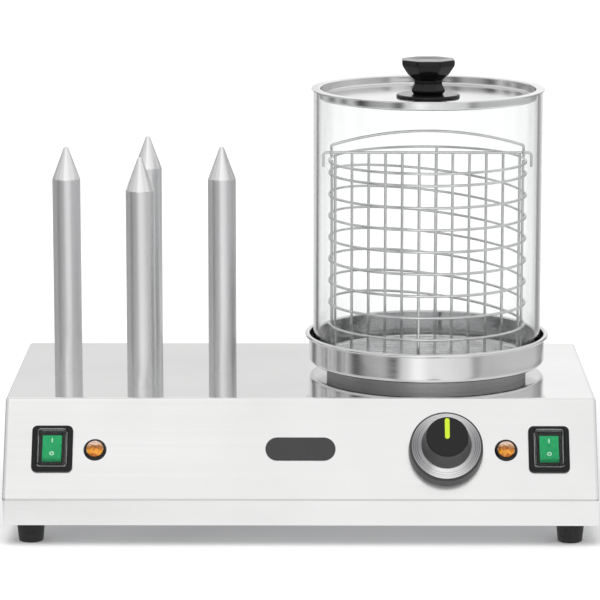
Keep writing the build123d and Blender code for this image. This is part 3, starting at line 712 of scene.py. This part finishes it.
def make_spikes():
    """Four turned sleeves with conical points, at the corners of a diamond."""
    low, high = corners("bun_spikes")
    middle = (low + high) / 2
    height = high[2] - low[2]
    spread = (high[0] - low[0]) / 2 - SPIKE_R
    outline = [(SPIKE_R, 0), (SPIKE_R, height - SPIKE_CONE), (SPIKE_TIP_R, height), (POLE_R, height)]
    sleeve = turned(soften(outline, (0, SPIKE_SHOULDER_R, SPIKE_TIP_ROUND, 0)))
    steps = spread * np.array([(-1, 0, 0), (0, -1, 0), (1, 0, 0), (0, 1, 0)])
    foot = np.array((middle[0], middle[1], low[2]))
    finish = sleeve_aluminium(high[2] - SPIKE_CONE)
    skins = [closed_skin(sleeve + foot + step) for step in steps]
    make_piece("bun_sleeves", skins, finish, "cabinet", ["bun_spikes"])


def make_pan():
    """Drawn pan whose wall rolls over into a bead: the bead's profile is part of an ellipse."""
    low, high = corners("water_pan")
    height = high[2] - low[2]
    bead_z = height - PAN_BEAD_R
    bead_outer = PAN_R + 2 * PAN_BEAD_R
    bead_half = (bead_outer - (PAN_R - PAN_SHEET)) / 2
    bead_centre = bead_outer - bead_half
    start = -acos((PAN_R - bead_centre) / bead_half)
    swing = np.linspace(start, pi, BEAD_POINTS)
    bead = np.stack((bead_centre + bead_half * np.cos(swing), bead_z + PAN_BEAD_R * np.sin(swing)), axis=1)
    outside = soften([(POLE_R, 0), (PAN_R, 0), (PAN_R, bead[0, 1] - POLE_R)], (0, PAN_CORNER, 0))
    inner_r = PAN_R - PAN_SHEET
    outline = [(inner_r, bead_z - POLE_R), (inner_r, PAN_SHEET), (POLE_R, PAN_SHEET)]
    inside = soften(outline, (0, PAN_CORNER - PAN_SHEET, 0))
    grid = turned(np.vstack((outside, bead, inside)), spans=192)
    make_piece("pan", [closed_skin(at_glass(grid, low[2]))], spun_steel, "pan", ["water_pan"])


def make_glass():
    """Open glass cylinder: its wall, with melted edges, turned about the axis."""
    outer = (glass_high[0] - glass_low[0]) / 2
    inner = outer - GLASS_WALL
    height = glass_high[2] - glass_low[2]
    outline = [(inner, 0), (outer, 0), (outer, height), (inner, height)]
    profile = soften(outline, [GLASS_EDGE_R] * 4, closed=True)
    skin = closed_skin(at_glass(turned(profile, spans=256), glass_low[2]), rows_closed=True)
    finish = clear("clear_glass", (0.985, 0.992, 0.99), index=1.45)
    make_piece("glass", [skin], finish, "glass", ["glass_cylinder"])


def make_lid():
    """Dished lid with a vent hole: the dish's floor is drawn between the hole's circle and the wall's, and
    each row is a circle whose centre and radius go from one to the other."""
    low, high = corners("lid_dish")
    height = high[2] - low[2]
    rim_r = (high[0] - low[0]) / 2
    inner_r = LID_DISH_R - LID_SHEET
    flange_z = height - LID_SHEET
    outline = [
        (inner_r - 2 * LID_CORNER, LID_SHEET),
        (inner_r, LID_SHEET),
        (inner_r, height),
        (rim_r, height),
        (rim_r, flange_z),
        (LID_DISH_R, flange_z),
        (LID_DISH_R, 0),
        (inner_r - 2 * LID_CORNER, 0),
    ]
    edge_r = LID_SHEET * LID_EDGE_SHARE
    radii = (0, LID_CORNER, LID_SHEET, edge_r, edge_r, edge_r, LID_CORNER + edge_r, 0)
    wall = soften(outline, radii)
    share = np.linspace(0, 1, LID_FLOOR_RINGS, endpoint=False)
    floor_r = LID_VENT_R + (wall[0, 0] - LID_VENT_R) * share
    centre_share = np.concatenate((1 - share, np.zeros(len(wall)), (1 - share)[::-1]))
    radius = np.concatenate((floor_r, wall[:, 0], floor_r[::-1]))
    level = np.concatenate((LID_SHEET + 0 * share, wall[:, 1], 0 * share))
    grid = turned(np.stack((radius, level), axis=1), spans=192)
    grid += centre_share[:, None, None] * np.array((LID_VENT_X, LID_VENT_Y, 0))
    skin = closed_skin(at_glass(grid, low[2]), rows_closed=True)
    make_piece("lid", [skin], spun_steel, "lid", ["lid_dish"])


def make_lid_knob():
    """Eight-sided waisted knob with a hollowed top, on a round disc."""
    low, high = corners("knob_disc")
    disc_r = (high[0] - low[0]) / 2
    height = high[2] - low[2]
    outline = [(POLE_R, 0), (disc_r, 0), (disc_r, height), (POLE_R, height)]
    lower_edge, upper_edge = KNOB_DISC_EDGES
    disc = at_glass(turned(soften(outline, (0, height * lower_edge, height * upper_edge, 0))), low[2])
    make_piece("lid_knob_disc", [closed_skin(disc)], gloss_black, "lid", ["knob_disc"])
    low, high = corners("lid_knob")
    height = high[2] - low[2]
    top_r = (high[0] - low[0]) / 2
    hollow_z = height - LID_KNOB_HOLLOW_DEPTH
    half_width_height_rounding = np.array([
        (POLE_R, 0, 0),
        (LID_KNOB_BASE_R, 0, 0.0005),
        (LID_KNOB_FLARE_R, 0.11 * height, 0.002),
        (LID_KNOB_NECK_R, 0.29 * height, 0.004),
        (LID_KNOB_NECK_R, 0.41 * height, 0.003),
        (LID_KNOB_BOWL_R, 0.58 * height, 0.012),
        (top_r, 0.84 * height, 0.006),
        (top_r, height, 0.0012),
        (LID_KNOB_HOLLOW_R, height, 0.004),
        (LID_KNOB_HOLLOW_FLOOR_R, hollow_z, 0.01),
        (POLE_R, hollow_z, 0),
    ])
    outline, radii = half_width_height_rounding[:, :2], half_width_height_rounding[:, 2]
    grip = at_glass(eight_sided(soften(outline, radii, steps=10)), low[2])
    make_piece("lid_grip", [closed_skin(grip)], gloss_black, "lid", ["lid_knob"])


def ring_path(radius, z, spans=192):
    """Level circle about the glass's axis."""
    turn = np.linspace(0, 2 * pi, spans, endpoint=False)
    return at_glass(np.stack((radius * np.cos(turn), radius * np.sin(turn), z + 0 * turn), axis=-1))


def coil_path(top_z, spans=64):
    """One unbroken line round the wall: each turn is a level half circle in front and, behind, a half
    circle tilted so that it falls by one pitch, whose middle stands out by the tilt."""
    turn = np.linspace(0, pi, spans, endpoint=False)
    level = top_z - COIL_PITCH * np.arange(COIL_TURNS)[:, None] + 0 * turn
    x = RING_R * np.cos(turn) + 0 * level
    reach = np.sin(turn) + 0 * level
    ahead = np.stack((x, -RING_R * reach, level), axis=-1)
    fall_r = hypot(RING_R, COIL_PITCH / 2)
    falling = level - COIL_PITCH / 2 * (1 - np.cos(turn))
    behind = np.stack((-x, fall_r * reach, falling), axis=-1)
    path = np.stack((ahead, behind), axis=1).reshape(-1, 3)[: -spans]
    end = np.array((-RING_R, 0, top_z - COIL_PITCH * (COIL_TURNS - 1)))
    return at_glass(np.vstack((path, end)))


def line(start, end):
    """Straight path about the glass's axis."""
    return at_glass(np.array((start, end), float))


def make_basket():
    """Basket of round wires: rim, wound wall, rods, floor, divider and bail. A wire across the floor ends
    on the ring, and the bail's arch is the circle through its two bends and its top."""
    low, high = corners("basket_rim")
    rim_z = (low[2] + high[2]) / 2
    floor_low, _ = corners("basket_floor")
    floor_ring_z = floor_low[2] + WIRE_R
    _, divider_high = corners("basket_divider")
    divider_top_z = divider_high[2] - WIRE_R
    up, back = np.array((0.0, 0.0, 1.0)), np.array((0.0, 1.0, 0.0))

    def basket_piece(name, skins, node, body="basket"):
        """One piece of the basket, in bright wire."""
        make_piece(name, skins, wires, body, [node], crease=50.0)

    basket_piece("rim_wire", [wire(ring_path(RING_R, rim_z), up, closed=True)], "basket_rim")
    basket_piece("wall_wire", [wire(coil_path(rim_z - COIL_DROP), up)], "basket_coil")

    rod_angles = (0, pi, -acos(ROD_FRONT_X / ROD_CIRCLE_R), acos(ROD_BACK_X / ROD_CIRCLE_R))
    spots = [(ROD_CIRCLE_R * cos(angle), ROD_CIRCLE_R * sin(angle)) for angle in rod_angles]
    rods = [wire(line((x, y, floor_ring_z - WIRE_R / 2), (x, y, rim_z)), right) for x, y in spots]
    basket_piece("rods", rods, "basket_rods")

    floor_z = floor_ring_z + 2 * WIRE_R
    floor = [wire(ring_path(RING_R, floor_ring_z), up, closed=True)]
    for x in (-CROSS_WIRE_X, CROSS_WIRE_X):
        half = (RING_R**2 - x**2) ** 0.5
        floor.append(wire(line((x, -half, floor_ring_z), (x, half, floor_ring_z)), up))
    for y in (np.arange(FLOOR_WIRES) - (FLOOR_WIRES - 1) / 2) * FLOOR_PITCH:
        half = (RING_R**2 - y**2) ** 0.5
        floor.append(wire(line((-half, y, floor_z), (half, y, floor_z)), up))
    basket_piece("floor_wires", floor, "basket_floor")

    hook_z = divider_top_z - HOOK_DROP
    hook = soften(
        [(-HOOK_X, hook_z), (-HOOK_X, divider_top_z), (HOOK_X, divider_top_z), (HOOK_X, hook_z)],
        (0, HOOK_BEND_R, HOOK_BEND_R, 0),
    )
    hook_path = at_glass(np.stack((hook[:, 0], 0 * hook[:, 0], hook[:, 1]), axis=1))
    foot = line((-DIVIDER_HALF, 0, floor_z), (DIVIDER_HALF, 0, floor_z))
    divider = [wire(hook_path, back), wire(foot, up)]
    for x in np.linspace(-DIVIDER_HALF, DIVIDER_HALF, DIVIDER_WIRES):
        divider.append(wire(line((x, 0, floor_z), (x, 0, divider_top_z)), back))
    basket_piece("divider_wires", divider, "basket_divider")

    leg_z = divider_top_z + BAIL_LEG
    arch_r = (BAIL_X**2 + BAIL_RISE**2) / (2 * BAIL_RISE)
    reach = np.arcsin(BAIL_X / arch_r)
    swing = np.linspace(-reach, reach, ARCH_POINTS)[1:-1]
    arch = np.stack((arch_r * np.sin(swing), leg_z + BAIL_RISE - arch_r * (1 - np.cos(swing))), axis=1)
    ends = divider_top_z + BAIL_EYE_R
    outline = np.vstack(((-BAIL_X, ends), (-BAIL_X, leg_z), arch, (BAIL_X, leg_z), (BAIL_X, ends)))
    radii = np.zeros(len(outline))
    radii[[1, -2]] = BAIL_BEND_R
    bail = soften(outline, radii)
    bail_path = at_glass(np.stack((bail[:, 0], 0 * bail[:, 0], bail[:, 1]), axis=1))
    turn = np.linspace(0, 2 * pi, EYE_POINTS, endpoint=False)
    skins = [wire(bail_path, back)]
    for x in (-BAIL_X, BAIL_X):
        y, z = BAIL_EYE_R * np.cos(turn), divider_top_z + BAIL_EYE_R * np.sin(turn)
        skins.append(wire(at_glass(np.stack((x + 0 * turn, y, z), axis=1)), right, closed=True))
    basket_piece("bail", skins, "basket_bail", "bail")


def make_dial():
    """Dial: a black disc, a chrome ring with turned grooves, and a tapered knob with a pointer.
    The ring's slope is straight, less a narrow bell-shaped dip at each groove."""
    top = DIAL_BACK_HEIGHT
    outline = [(DIAL_BORE_R, 0), (DIAL_BACK_R, 0), (DIAL_BACK_TOP_R, top), (DIAL_BORE_R, top)]
    disc = turned(soften(outline, (0, 0, DIAL_BACK_EDGE_R, 0)))
    skin = closed_skin(on_panel(disc, DIAL_X, DIAL_DOWN), rows_closed=True)
    # The disc takes the knob's lighter painted side light all over.
    make_piece("dial_disc", [skin], knob_black_side_lit, "cabinet", ["dial_backing"])
    share = np.linspace(0, 1, RING_FACE_POINTS)
    inner_r = KNOB_R + DIAL_GAP
    radius = inner_r + (DIAL_RING_R - inner_r) * share
    slope = top + DIAL_RING_HEIGHT - (DIAL_RING_HEIGHT - DIAL_RING_LIP) * share
    from_groove = (share[:, None] - np.array(DIAL_GROOVE_SHARES)) / DIAL_GROOVE_SPREAD
    dips = np.exp(-(from_groove**2)).sum(axis=1)
    face = np.stack((radius, slope - DIAL_GROOVE_DEPTH * dips), axis=1)
    inside = [(DIAL_RING_R, top), (DIAL_RING_BORE_R, top), (DIAL_RING_BORE_R, top + DIAL_RING_HEIGHT)]
    ring = turned(np.vstack((face, inside)), spans=192)
    skin = closed_skin(on_panel(ring, DIAL_X, DIAL_DOWN), rows_closed=True)
    make_piece("dial_trim", [skin], dial_chrome(), "cabinet", ["dial_ring"])
    outline = [(POLE_R, 0), (KNOB_R, 0), (KNOB_FACE_R, KNOB_HEIGHT), (POLE_R, KNOB_HEIGHT)]
    knob = turned(soften(outline, (0, KNOB_EDGE_R / 3, KNOB_EDGE_R, 0)), spans=160)
    skin = closed_skin(on_panel(knob, DIAL_X, DIAL_DOWN, KNOB_BASE))
    make_piece("dial_knob", [skin], knob_black_side_lit, "knob", ["thermostat_knob"])
    bevel = POINTER_HEIGHT * POINTER_EDGE
    rise = np.array((0, POINTER_HEIGHT - bevel, POINTER_HEIGHT))
    inset = np.array((0, 0, bevel))
    half = POINTER_WIDTH / 2 - inset
    stripe = rounded_plates(2 * half, POINTER_LENGTH - 2 * inset, half * POINTER_END, rise)
    stripe[..., 1] += POINTER_LENGTH / 2 - POINTER_WIDTH / 2
    skin = closed_skin(on_panel(stripe, DIAL_X, DIAL_DOWN, KNOB_BASE + KNOB_HEIGHT))
    make_piece("dial_pointer", [skin], pointer_yellow, "knob", ["knob_pointer"])


def make_switches():
    """Rocker switches: a black frame, a clear boot over the rocker, and the marks on each rocker. The
    frame's section, between its outline and its hole, is rounded by two quarter ellipses, and the boot's
    edge by a quarter circle."""
    swing = np.linspace(0, pi / 2, EDGE_POINTS)
    from_outside = FRAME_OUTER_SHARE * (1 - np.cos(swing))
    to_inside = 1 - FRAME_INNER_SHARE * (1 - np.sin(swing))
    share = np.concatenate(([0.0], from_outside, to_inside, [1.0]))
    rise = FRAME_HEIGHT - FRAME_HEIGHT / 2 * (1 - np.sin(swing))
    fall = FRAME_HEIGHT - FRAME_HEIGHT * FRAME_INNER_DROP * (1 - np.cos(swing))
    height = np.concatenate(([0.0], rise, fall, [0.0]))
    frame_width = FRAME_WIDTH + (FRAME_HOLE_WIDTH - FRAME_WIDTH) * share
    frame_length = FRAME_LENGTH + (FRAME_HOLE_LENGTH - FRAME_LENGTH) * share
    frame_corner = FRAME_CORNER_R + (FRAME_HOLE_CORNER_R - FRAME_CORNER_R) * share
    bezel = rounded_plates(frame_width, frame_length, frame_corner, height)
    inset = np.concatenate(([0.0], BOOT_EDGE_CUT * (1 - np.cos(swing))))
    rise = np.concatenate(([0.0], BOOT_HEIGHT - BOOT_EDGE_CUT * (1 - np.sin(swing))))
    boot = rounded_plates(BOOT_WIDTH - 2 * inset, BOOT_LENGTH - 2 * inset, BOOT_CORNER_R - inset / 2, rise)
    sides = {"rocker_left": -SWITCH_X, "rocker_right": SWITCH_X}
    frames = [closed_skin(on_panel(bezel, x, SWITCH_DOWN), rows_closed=True) for x in sides.values()]
    make_piece("switch_bezels", frames, matte_black, "cabinet", ["switch_frames"])
    boots = [closed_skin(on_panel(boot, x, SWITCH_DOWN), start_closed=False) for x in sides.values()]
    cover_finish = clear("clear_cover", (0.93, 0.97, 0.95), index=1.22, roughness=0.03)
    covers = make_piece("switch_covers", boots, cover_finish, "cabinet", ["switch_boots"])
    wall = covers.modifiers.new("wall", "SOLIDIFY")
    wall.thickness = BOOT_WALL
    wall.offset = -1

    levels = np.array((0, MARK_HEIGHT))
    bar = rounded_plates(MARK_STROKE, MARK_SIZE, MARK_STROKE / 4, levels, spans=16)
    outer_r = MARK_SIZE / 2
    inner_r = outer_r - MARK_STROKE
    loop = turned([(outer_r, 0), (outer_r, MARK_HEIGHT), (inner_r, MARK_HEIGHT), (inner_r, 0)], spans=48)
    for body, x in sides.items():
        upper = closed_skin(on_rocker(bar, x, 1))
        lower = closed_skin(on_rocker(loop, x, -1), rows_closed=True)
        make_piece(body + "_marks", [upper, lower], mark_pale, body)


def on_rocker(grid, x, end):
    """Points set on the upper (end 1) or lower (end -1) half of a rocker's top: the half rises from the
    valley at the rocker's own tilt, on axes turned with the pressed rocker."""
    pressed = -ROCKER_TILT
    along = up_slope * cos(pressed) + np.cross(right, up_slope) * sin(pressed)
    out = outward * cos(pressed) + np.cross(right, outward) * sin(pressed)
    pivot = on_panel(np.zeros(3), x, SWITCH_DOWN, -ROCKER_PIVOT_DEPTH)
    run = end * along * cos(ROCKER_TILT) + out * sin(ROCKER_TILT)
    normal = out * cos(ROCKER_TILT) - end * along * sin(ROCKER_TILT)
    middle = pivot + out * ROCKER_TOP + run * MARK_REACH
    return middle + grid @ np.stack((right, end * run, normal))


def make_lamps():
    """Pilot lamps: a black bezel round a domed lens, whose height is the dome's less a pattern of flutes
    and rings, the product of a cosine round the lens and a sine across it."""
    hole_r = LAMP_LENS_R + LAMP_GAP
    top_r = LAMP_BEZEL_R - LAMP_BEZEL_HEIGHT / 2
    outline = [(hole_r, 0), (LAMP_BEZEL_R, 0), (top_r, LAMP_BEZEL_HEIGHT), (hole_r, LAMP_BEZEL_HEIGHT)]
    bezel = turned(soften(outline, (0, 0, LAMP_BEZEL_HEIGHT / 2, LAMP_BEZEL_LIP_R)), spans=96)
    bezels = [closed_skin(on_panel(bezel, x, LAMP_DOWN), rows_closed=True) for x in (-LAMP_X, LAMP_X)]
    make_piece("lamp_rims", bezels, gloss_black, "cabinet", ["lamp_bezels"])
    rise = LAMP_LENS_HEIGHT - LAMP_LENS_SKIRT
    dome_r = (LAMP_LENS_R**2 + rise**2) / (2 * rise)
    radius = np.linspace(LAMP_LENS_R, POLE_R, DOME_POINTS)
    dome = LAMP_LENS_HEIGHT - dome_r + (dome_r**2 - radius**2) ** 0.5
    profile = np.vstack(((LAMP_LENS_R, 0), np.stack((radius, dome), axis=1)))
    lens = turned(profile, spans=144)
    turn = np.linspace(0, 2 * pi, lens.shape[1], endpoint=False)
    share = np.clip(profile[:, :1] / LAMP_LENS_R, 0, 1)
    flutes = np.abs(np.cos(LAMP_FLUTES / 2 * turn)) * np.abs(np.sin(LAMP_RINGS * pi * share))
    flutes[0] = 0
    lens[..., 2] -= LAMP_FLUTE_DEPTH * flutes
    lenses = [closed_skin(on_panel(lens, x, LAMP_DOWN)) for x in (-LAMP_X, LAMP_X)]
    make_piece("lamp_domes", lenses, amber_lens(), "cabinet", ["lamp_lenses"])


def make_badge():
    """Plain dark plate: a rectangle with round ends, whose edge is a quarter circle."""
    swing = np.linspace(0, pi / 2, BADGE_EDGE_POINTS)
    inset = np.concatenate(([0.0], BADGE_EDGE_R * (1 - np.cos(swing))))
    rise = np.concatenate(([0.0], BADGE_HEIGHT - BADGE_EDGE_R * (1 - np.sin(swing))))
    corner = BADGE_LENGTH * BADGE_END - inset
    plate = rounded_plates(BADGE_WIDTH - 2 * inset, BADGE_LENGTH - 2 * inset, corner, rise)
    skin = closed_skin(on_panel(plate, 0, BADGE_DOWN))
    make_piece("badge", [skin], badge_grey, "cabinet", ["badge_plate"])


def dress_solids():
    """Finishes for the nodes of the solid model that show as they are."""
    finishes = {
        "casing_shell": stainless,
        "base_plate": plated,
        "hot_plate": cast_plate(),
        "thermostat_body": plated,
        "thermostat_shaft": plated,
        "switch_bodies": matte_black,
        "lamp_bodies": matte_black,
        "cable_gland": matte_black,
        "rocker_left": rocker_green,
        "rocker_right": rocker_green,
    }
    for node, finish in finishes.items():
        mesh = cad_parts[node].data
        mesh.materials.clear()
        mesh.materials.append(finish)


def studio_tone(tree, direction):
    """Grey by the compass angle of a direction, read off a ramp over a full turn, and the direction's Z."""
    x, y, z = split(tree, direction)
    angle = math_node(tree, "ARCTAN2", x, math_node(tree, "MULTIPLY", y, -1.0))
    turn = math_node(tree, "ADD", math_node(tree, "MULTIPLY", angle, 1 / (2 * pi)), 0.5)
    stops = {compass / 360 + 0.5: (grey, grey, grey) for compass, grey in STUDIO_TONES.items()}
    return colour_ramp(tree, turn, stops, "EASE"), z


def ray_kinds(tree):
    """Whether a ray comes straight from the camera or through glass, and whether it comes from a mirror."""
    rays = tree.nodes.new("ShaderNodeLightPath").outputs
    direct = math_node(tree, "MAXIMUM", rays["Is Camera Ray"], rays["Is Transmission Ray"])
    mirrored = math_node(tree, "SUBTRACT", rays["Glossy Depth"], rays["Is Diffuse Ray"], clamp=True)
    return direct, mirrored


def light_world():
    """World: white for the camera and through glass, the studio's tones for mirrors, which brighten towards
    the ceiling, and a plain level for the rest."""
    world = bpy.data.worlds.new("studio")
    bpy.context.scene.world = world
    world.use_nodes = True
    tree = world.node_tree
    direct, mirrored = ray_kinds(tree)
    tones, height = studio_tone(tree, tree.nodes.new("ShaderNodeTexCoord").outputs["Generated"])
    raised = ranged(tree, height, 0.0, OVERHEAD_SHARE, OVERHEAD_START, OVERHEAD_END)
    overhead = blend(tree, raised, tones, WHITE, "RGBA")
    plain = blend(tree, direct, (PLAIN_LEVEL, PLAIN_LEVEL, PLAIN_LEVEL, 1), WHITE, "RGBA")
    seen = blend(tree, mirrored, plain, overhead, "RGBA")
    tree.links.new(seen, tree.nodes["Background"].inputs["Color"])


def floor_finish():
    """Matt floor that keeps shadows and glows to white for the camera; mirrors see the studio's tones on
    it, and a plain tone close to the machine. Both change with the distance from the glass's axis."""
    finish = new_finish("studio_floor", (FLOOR_TONE,) * 3, Roughness=0.9, Specular_IOR_Level=0.0)
    tree = finish.node_tree
    nodes, links = tree.nodes, tree.links
    shader = nodes["Principled BSDF"]
    place = own_coordinates(tree, centre=(glass_x, glass_y, 0))
    length = nodes.new("ShaderNodeVectorMath")
    length.operation = "LENGTH"
    links.new(place, length.inputs[0])
    distance = length.outputs["Value"]
    direct, mirrored = ray_kinds(tree)
    glow = ranged(tree, distance, FLOOR_GLOW_NEAR, FLOOR_GLOW, FLOOR_GLOW_START, FLOOR_GLOW_END)
    shader.inputs["Emission Color"].default_value = WHITE
    drive(tree, "Emission Strength", math_node(tree, "MULTIPLY", direct, glow))
    tones, _ = studio_tone(tree, place)
    far = ranged(tree, distance, 0.0, 1.0, PLAIN_FLOOR_END, TONED_FLOOR_START)
    plain = (PLAIN_FLOOR_TONE, PLAIN_FLOOR_TONE, PLAIN_FLOOR_TONE, 1)
    seen = nodes.new("ShaderNodeEmission")
    links.new(blend(tree, far, plain, tones, "RGBA"), seen.inputs["Color"])
    either = nodes.new("ShaderNodeMixShader")
    links.new(mirrored, either.inputs["Fac"])
    links.new(shader.outputs["BSDF"], either.inputs[1])
    links.new(seen.outputs["Emission"], either.inputs[2])
    links.new(either.outputs["Shader"], nodes["Material Output"].inputs["Surface"])
    return finish


def make_floor():
    """Level floor under the feet."""
    half = FLOOR_WIDTH / 2
    mesh = bpy.data.meshes.new("floor")
    square = [(-half, -half, 0), (half, -half, 0), (half, half, 0), (-half, half, 0)]
    mesh.from_pydata(square, [], [(0, 1, 2, 3)])
    mesh.materials.append(floor_finish())
    floor = bpy.data.objects.new("floor", mesh)
    bpy.context.scene.collection.objects.link(floor)


def soft_lamp(name, place, target, size, power):
    """Square lamp of a size in metres, aimed at a point. Mirrors and glass don't show it."""
    light = bpy.data.lights.new(name, "AREA")
    light.size = size
    light.energy = power
    lamp = bpy.data.objects.new(name, light)
    bpy.context.scene.collection.objects.link(lamp)
    lamp.visible_glossy = False
    lamp.visible_transmission = False
    lamp.location = place
    lamp.rotation_euler = (Vector(target) - lamp.location).to_track_quat("-Z", "Y").to_euler()


def set_camera():
    """Long-lens camera in front of the machine, looking slightly down."""
    camera = bpy.data.objects.new("camera", bpy.data.cameras.new("camera"))
    bpy.context.scene.collection.objects.link(camera)
    camera.data.lens = CAMERA_LENS
    camera.data.sensor_width = CAMERA_SENSOR
    camera.location = CAMERA_PLACE
    camera.rotation_euler = (pi / 2 - CAMERA_DIP, 0, CAMERA_YAW)
    bpy.context.scene.camera = camera


make_feet()
make_spikes()
make_pan()
make_glass()
make_lid()
make_lid_knob()
make_basket()
make_dial()
make_switches()
make_lamps()
make_badge()
dress_solids()

light_world()
make_floor()
soft_lamp("overhead_lamp", place=(-0.3, -1.0, 2.2), target=(0.0, 0.0, 0.1), size=1.8, power=30.0)
soft_lamp("side_lamp", place=(1.9, -0.9, 1.2), target=(0.0, 0.0, 0.2), size=1.4, power=4.0)
set_camera()
bpy.context.scene.view_settings.view_transform = "Standard"
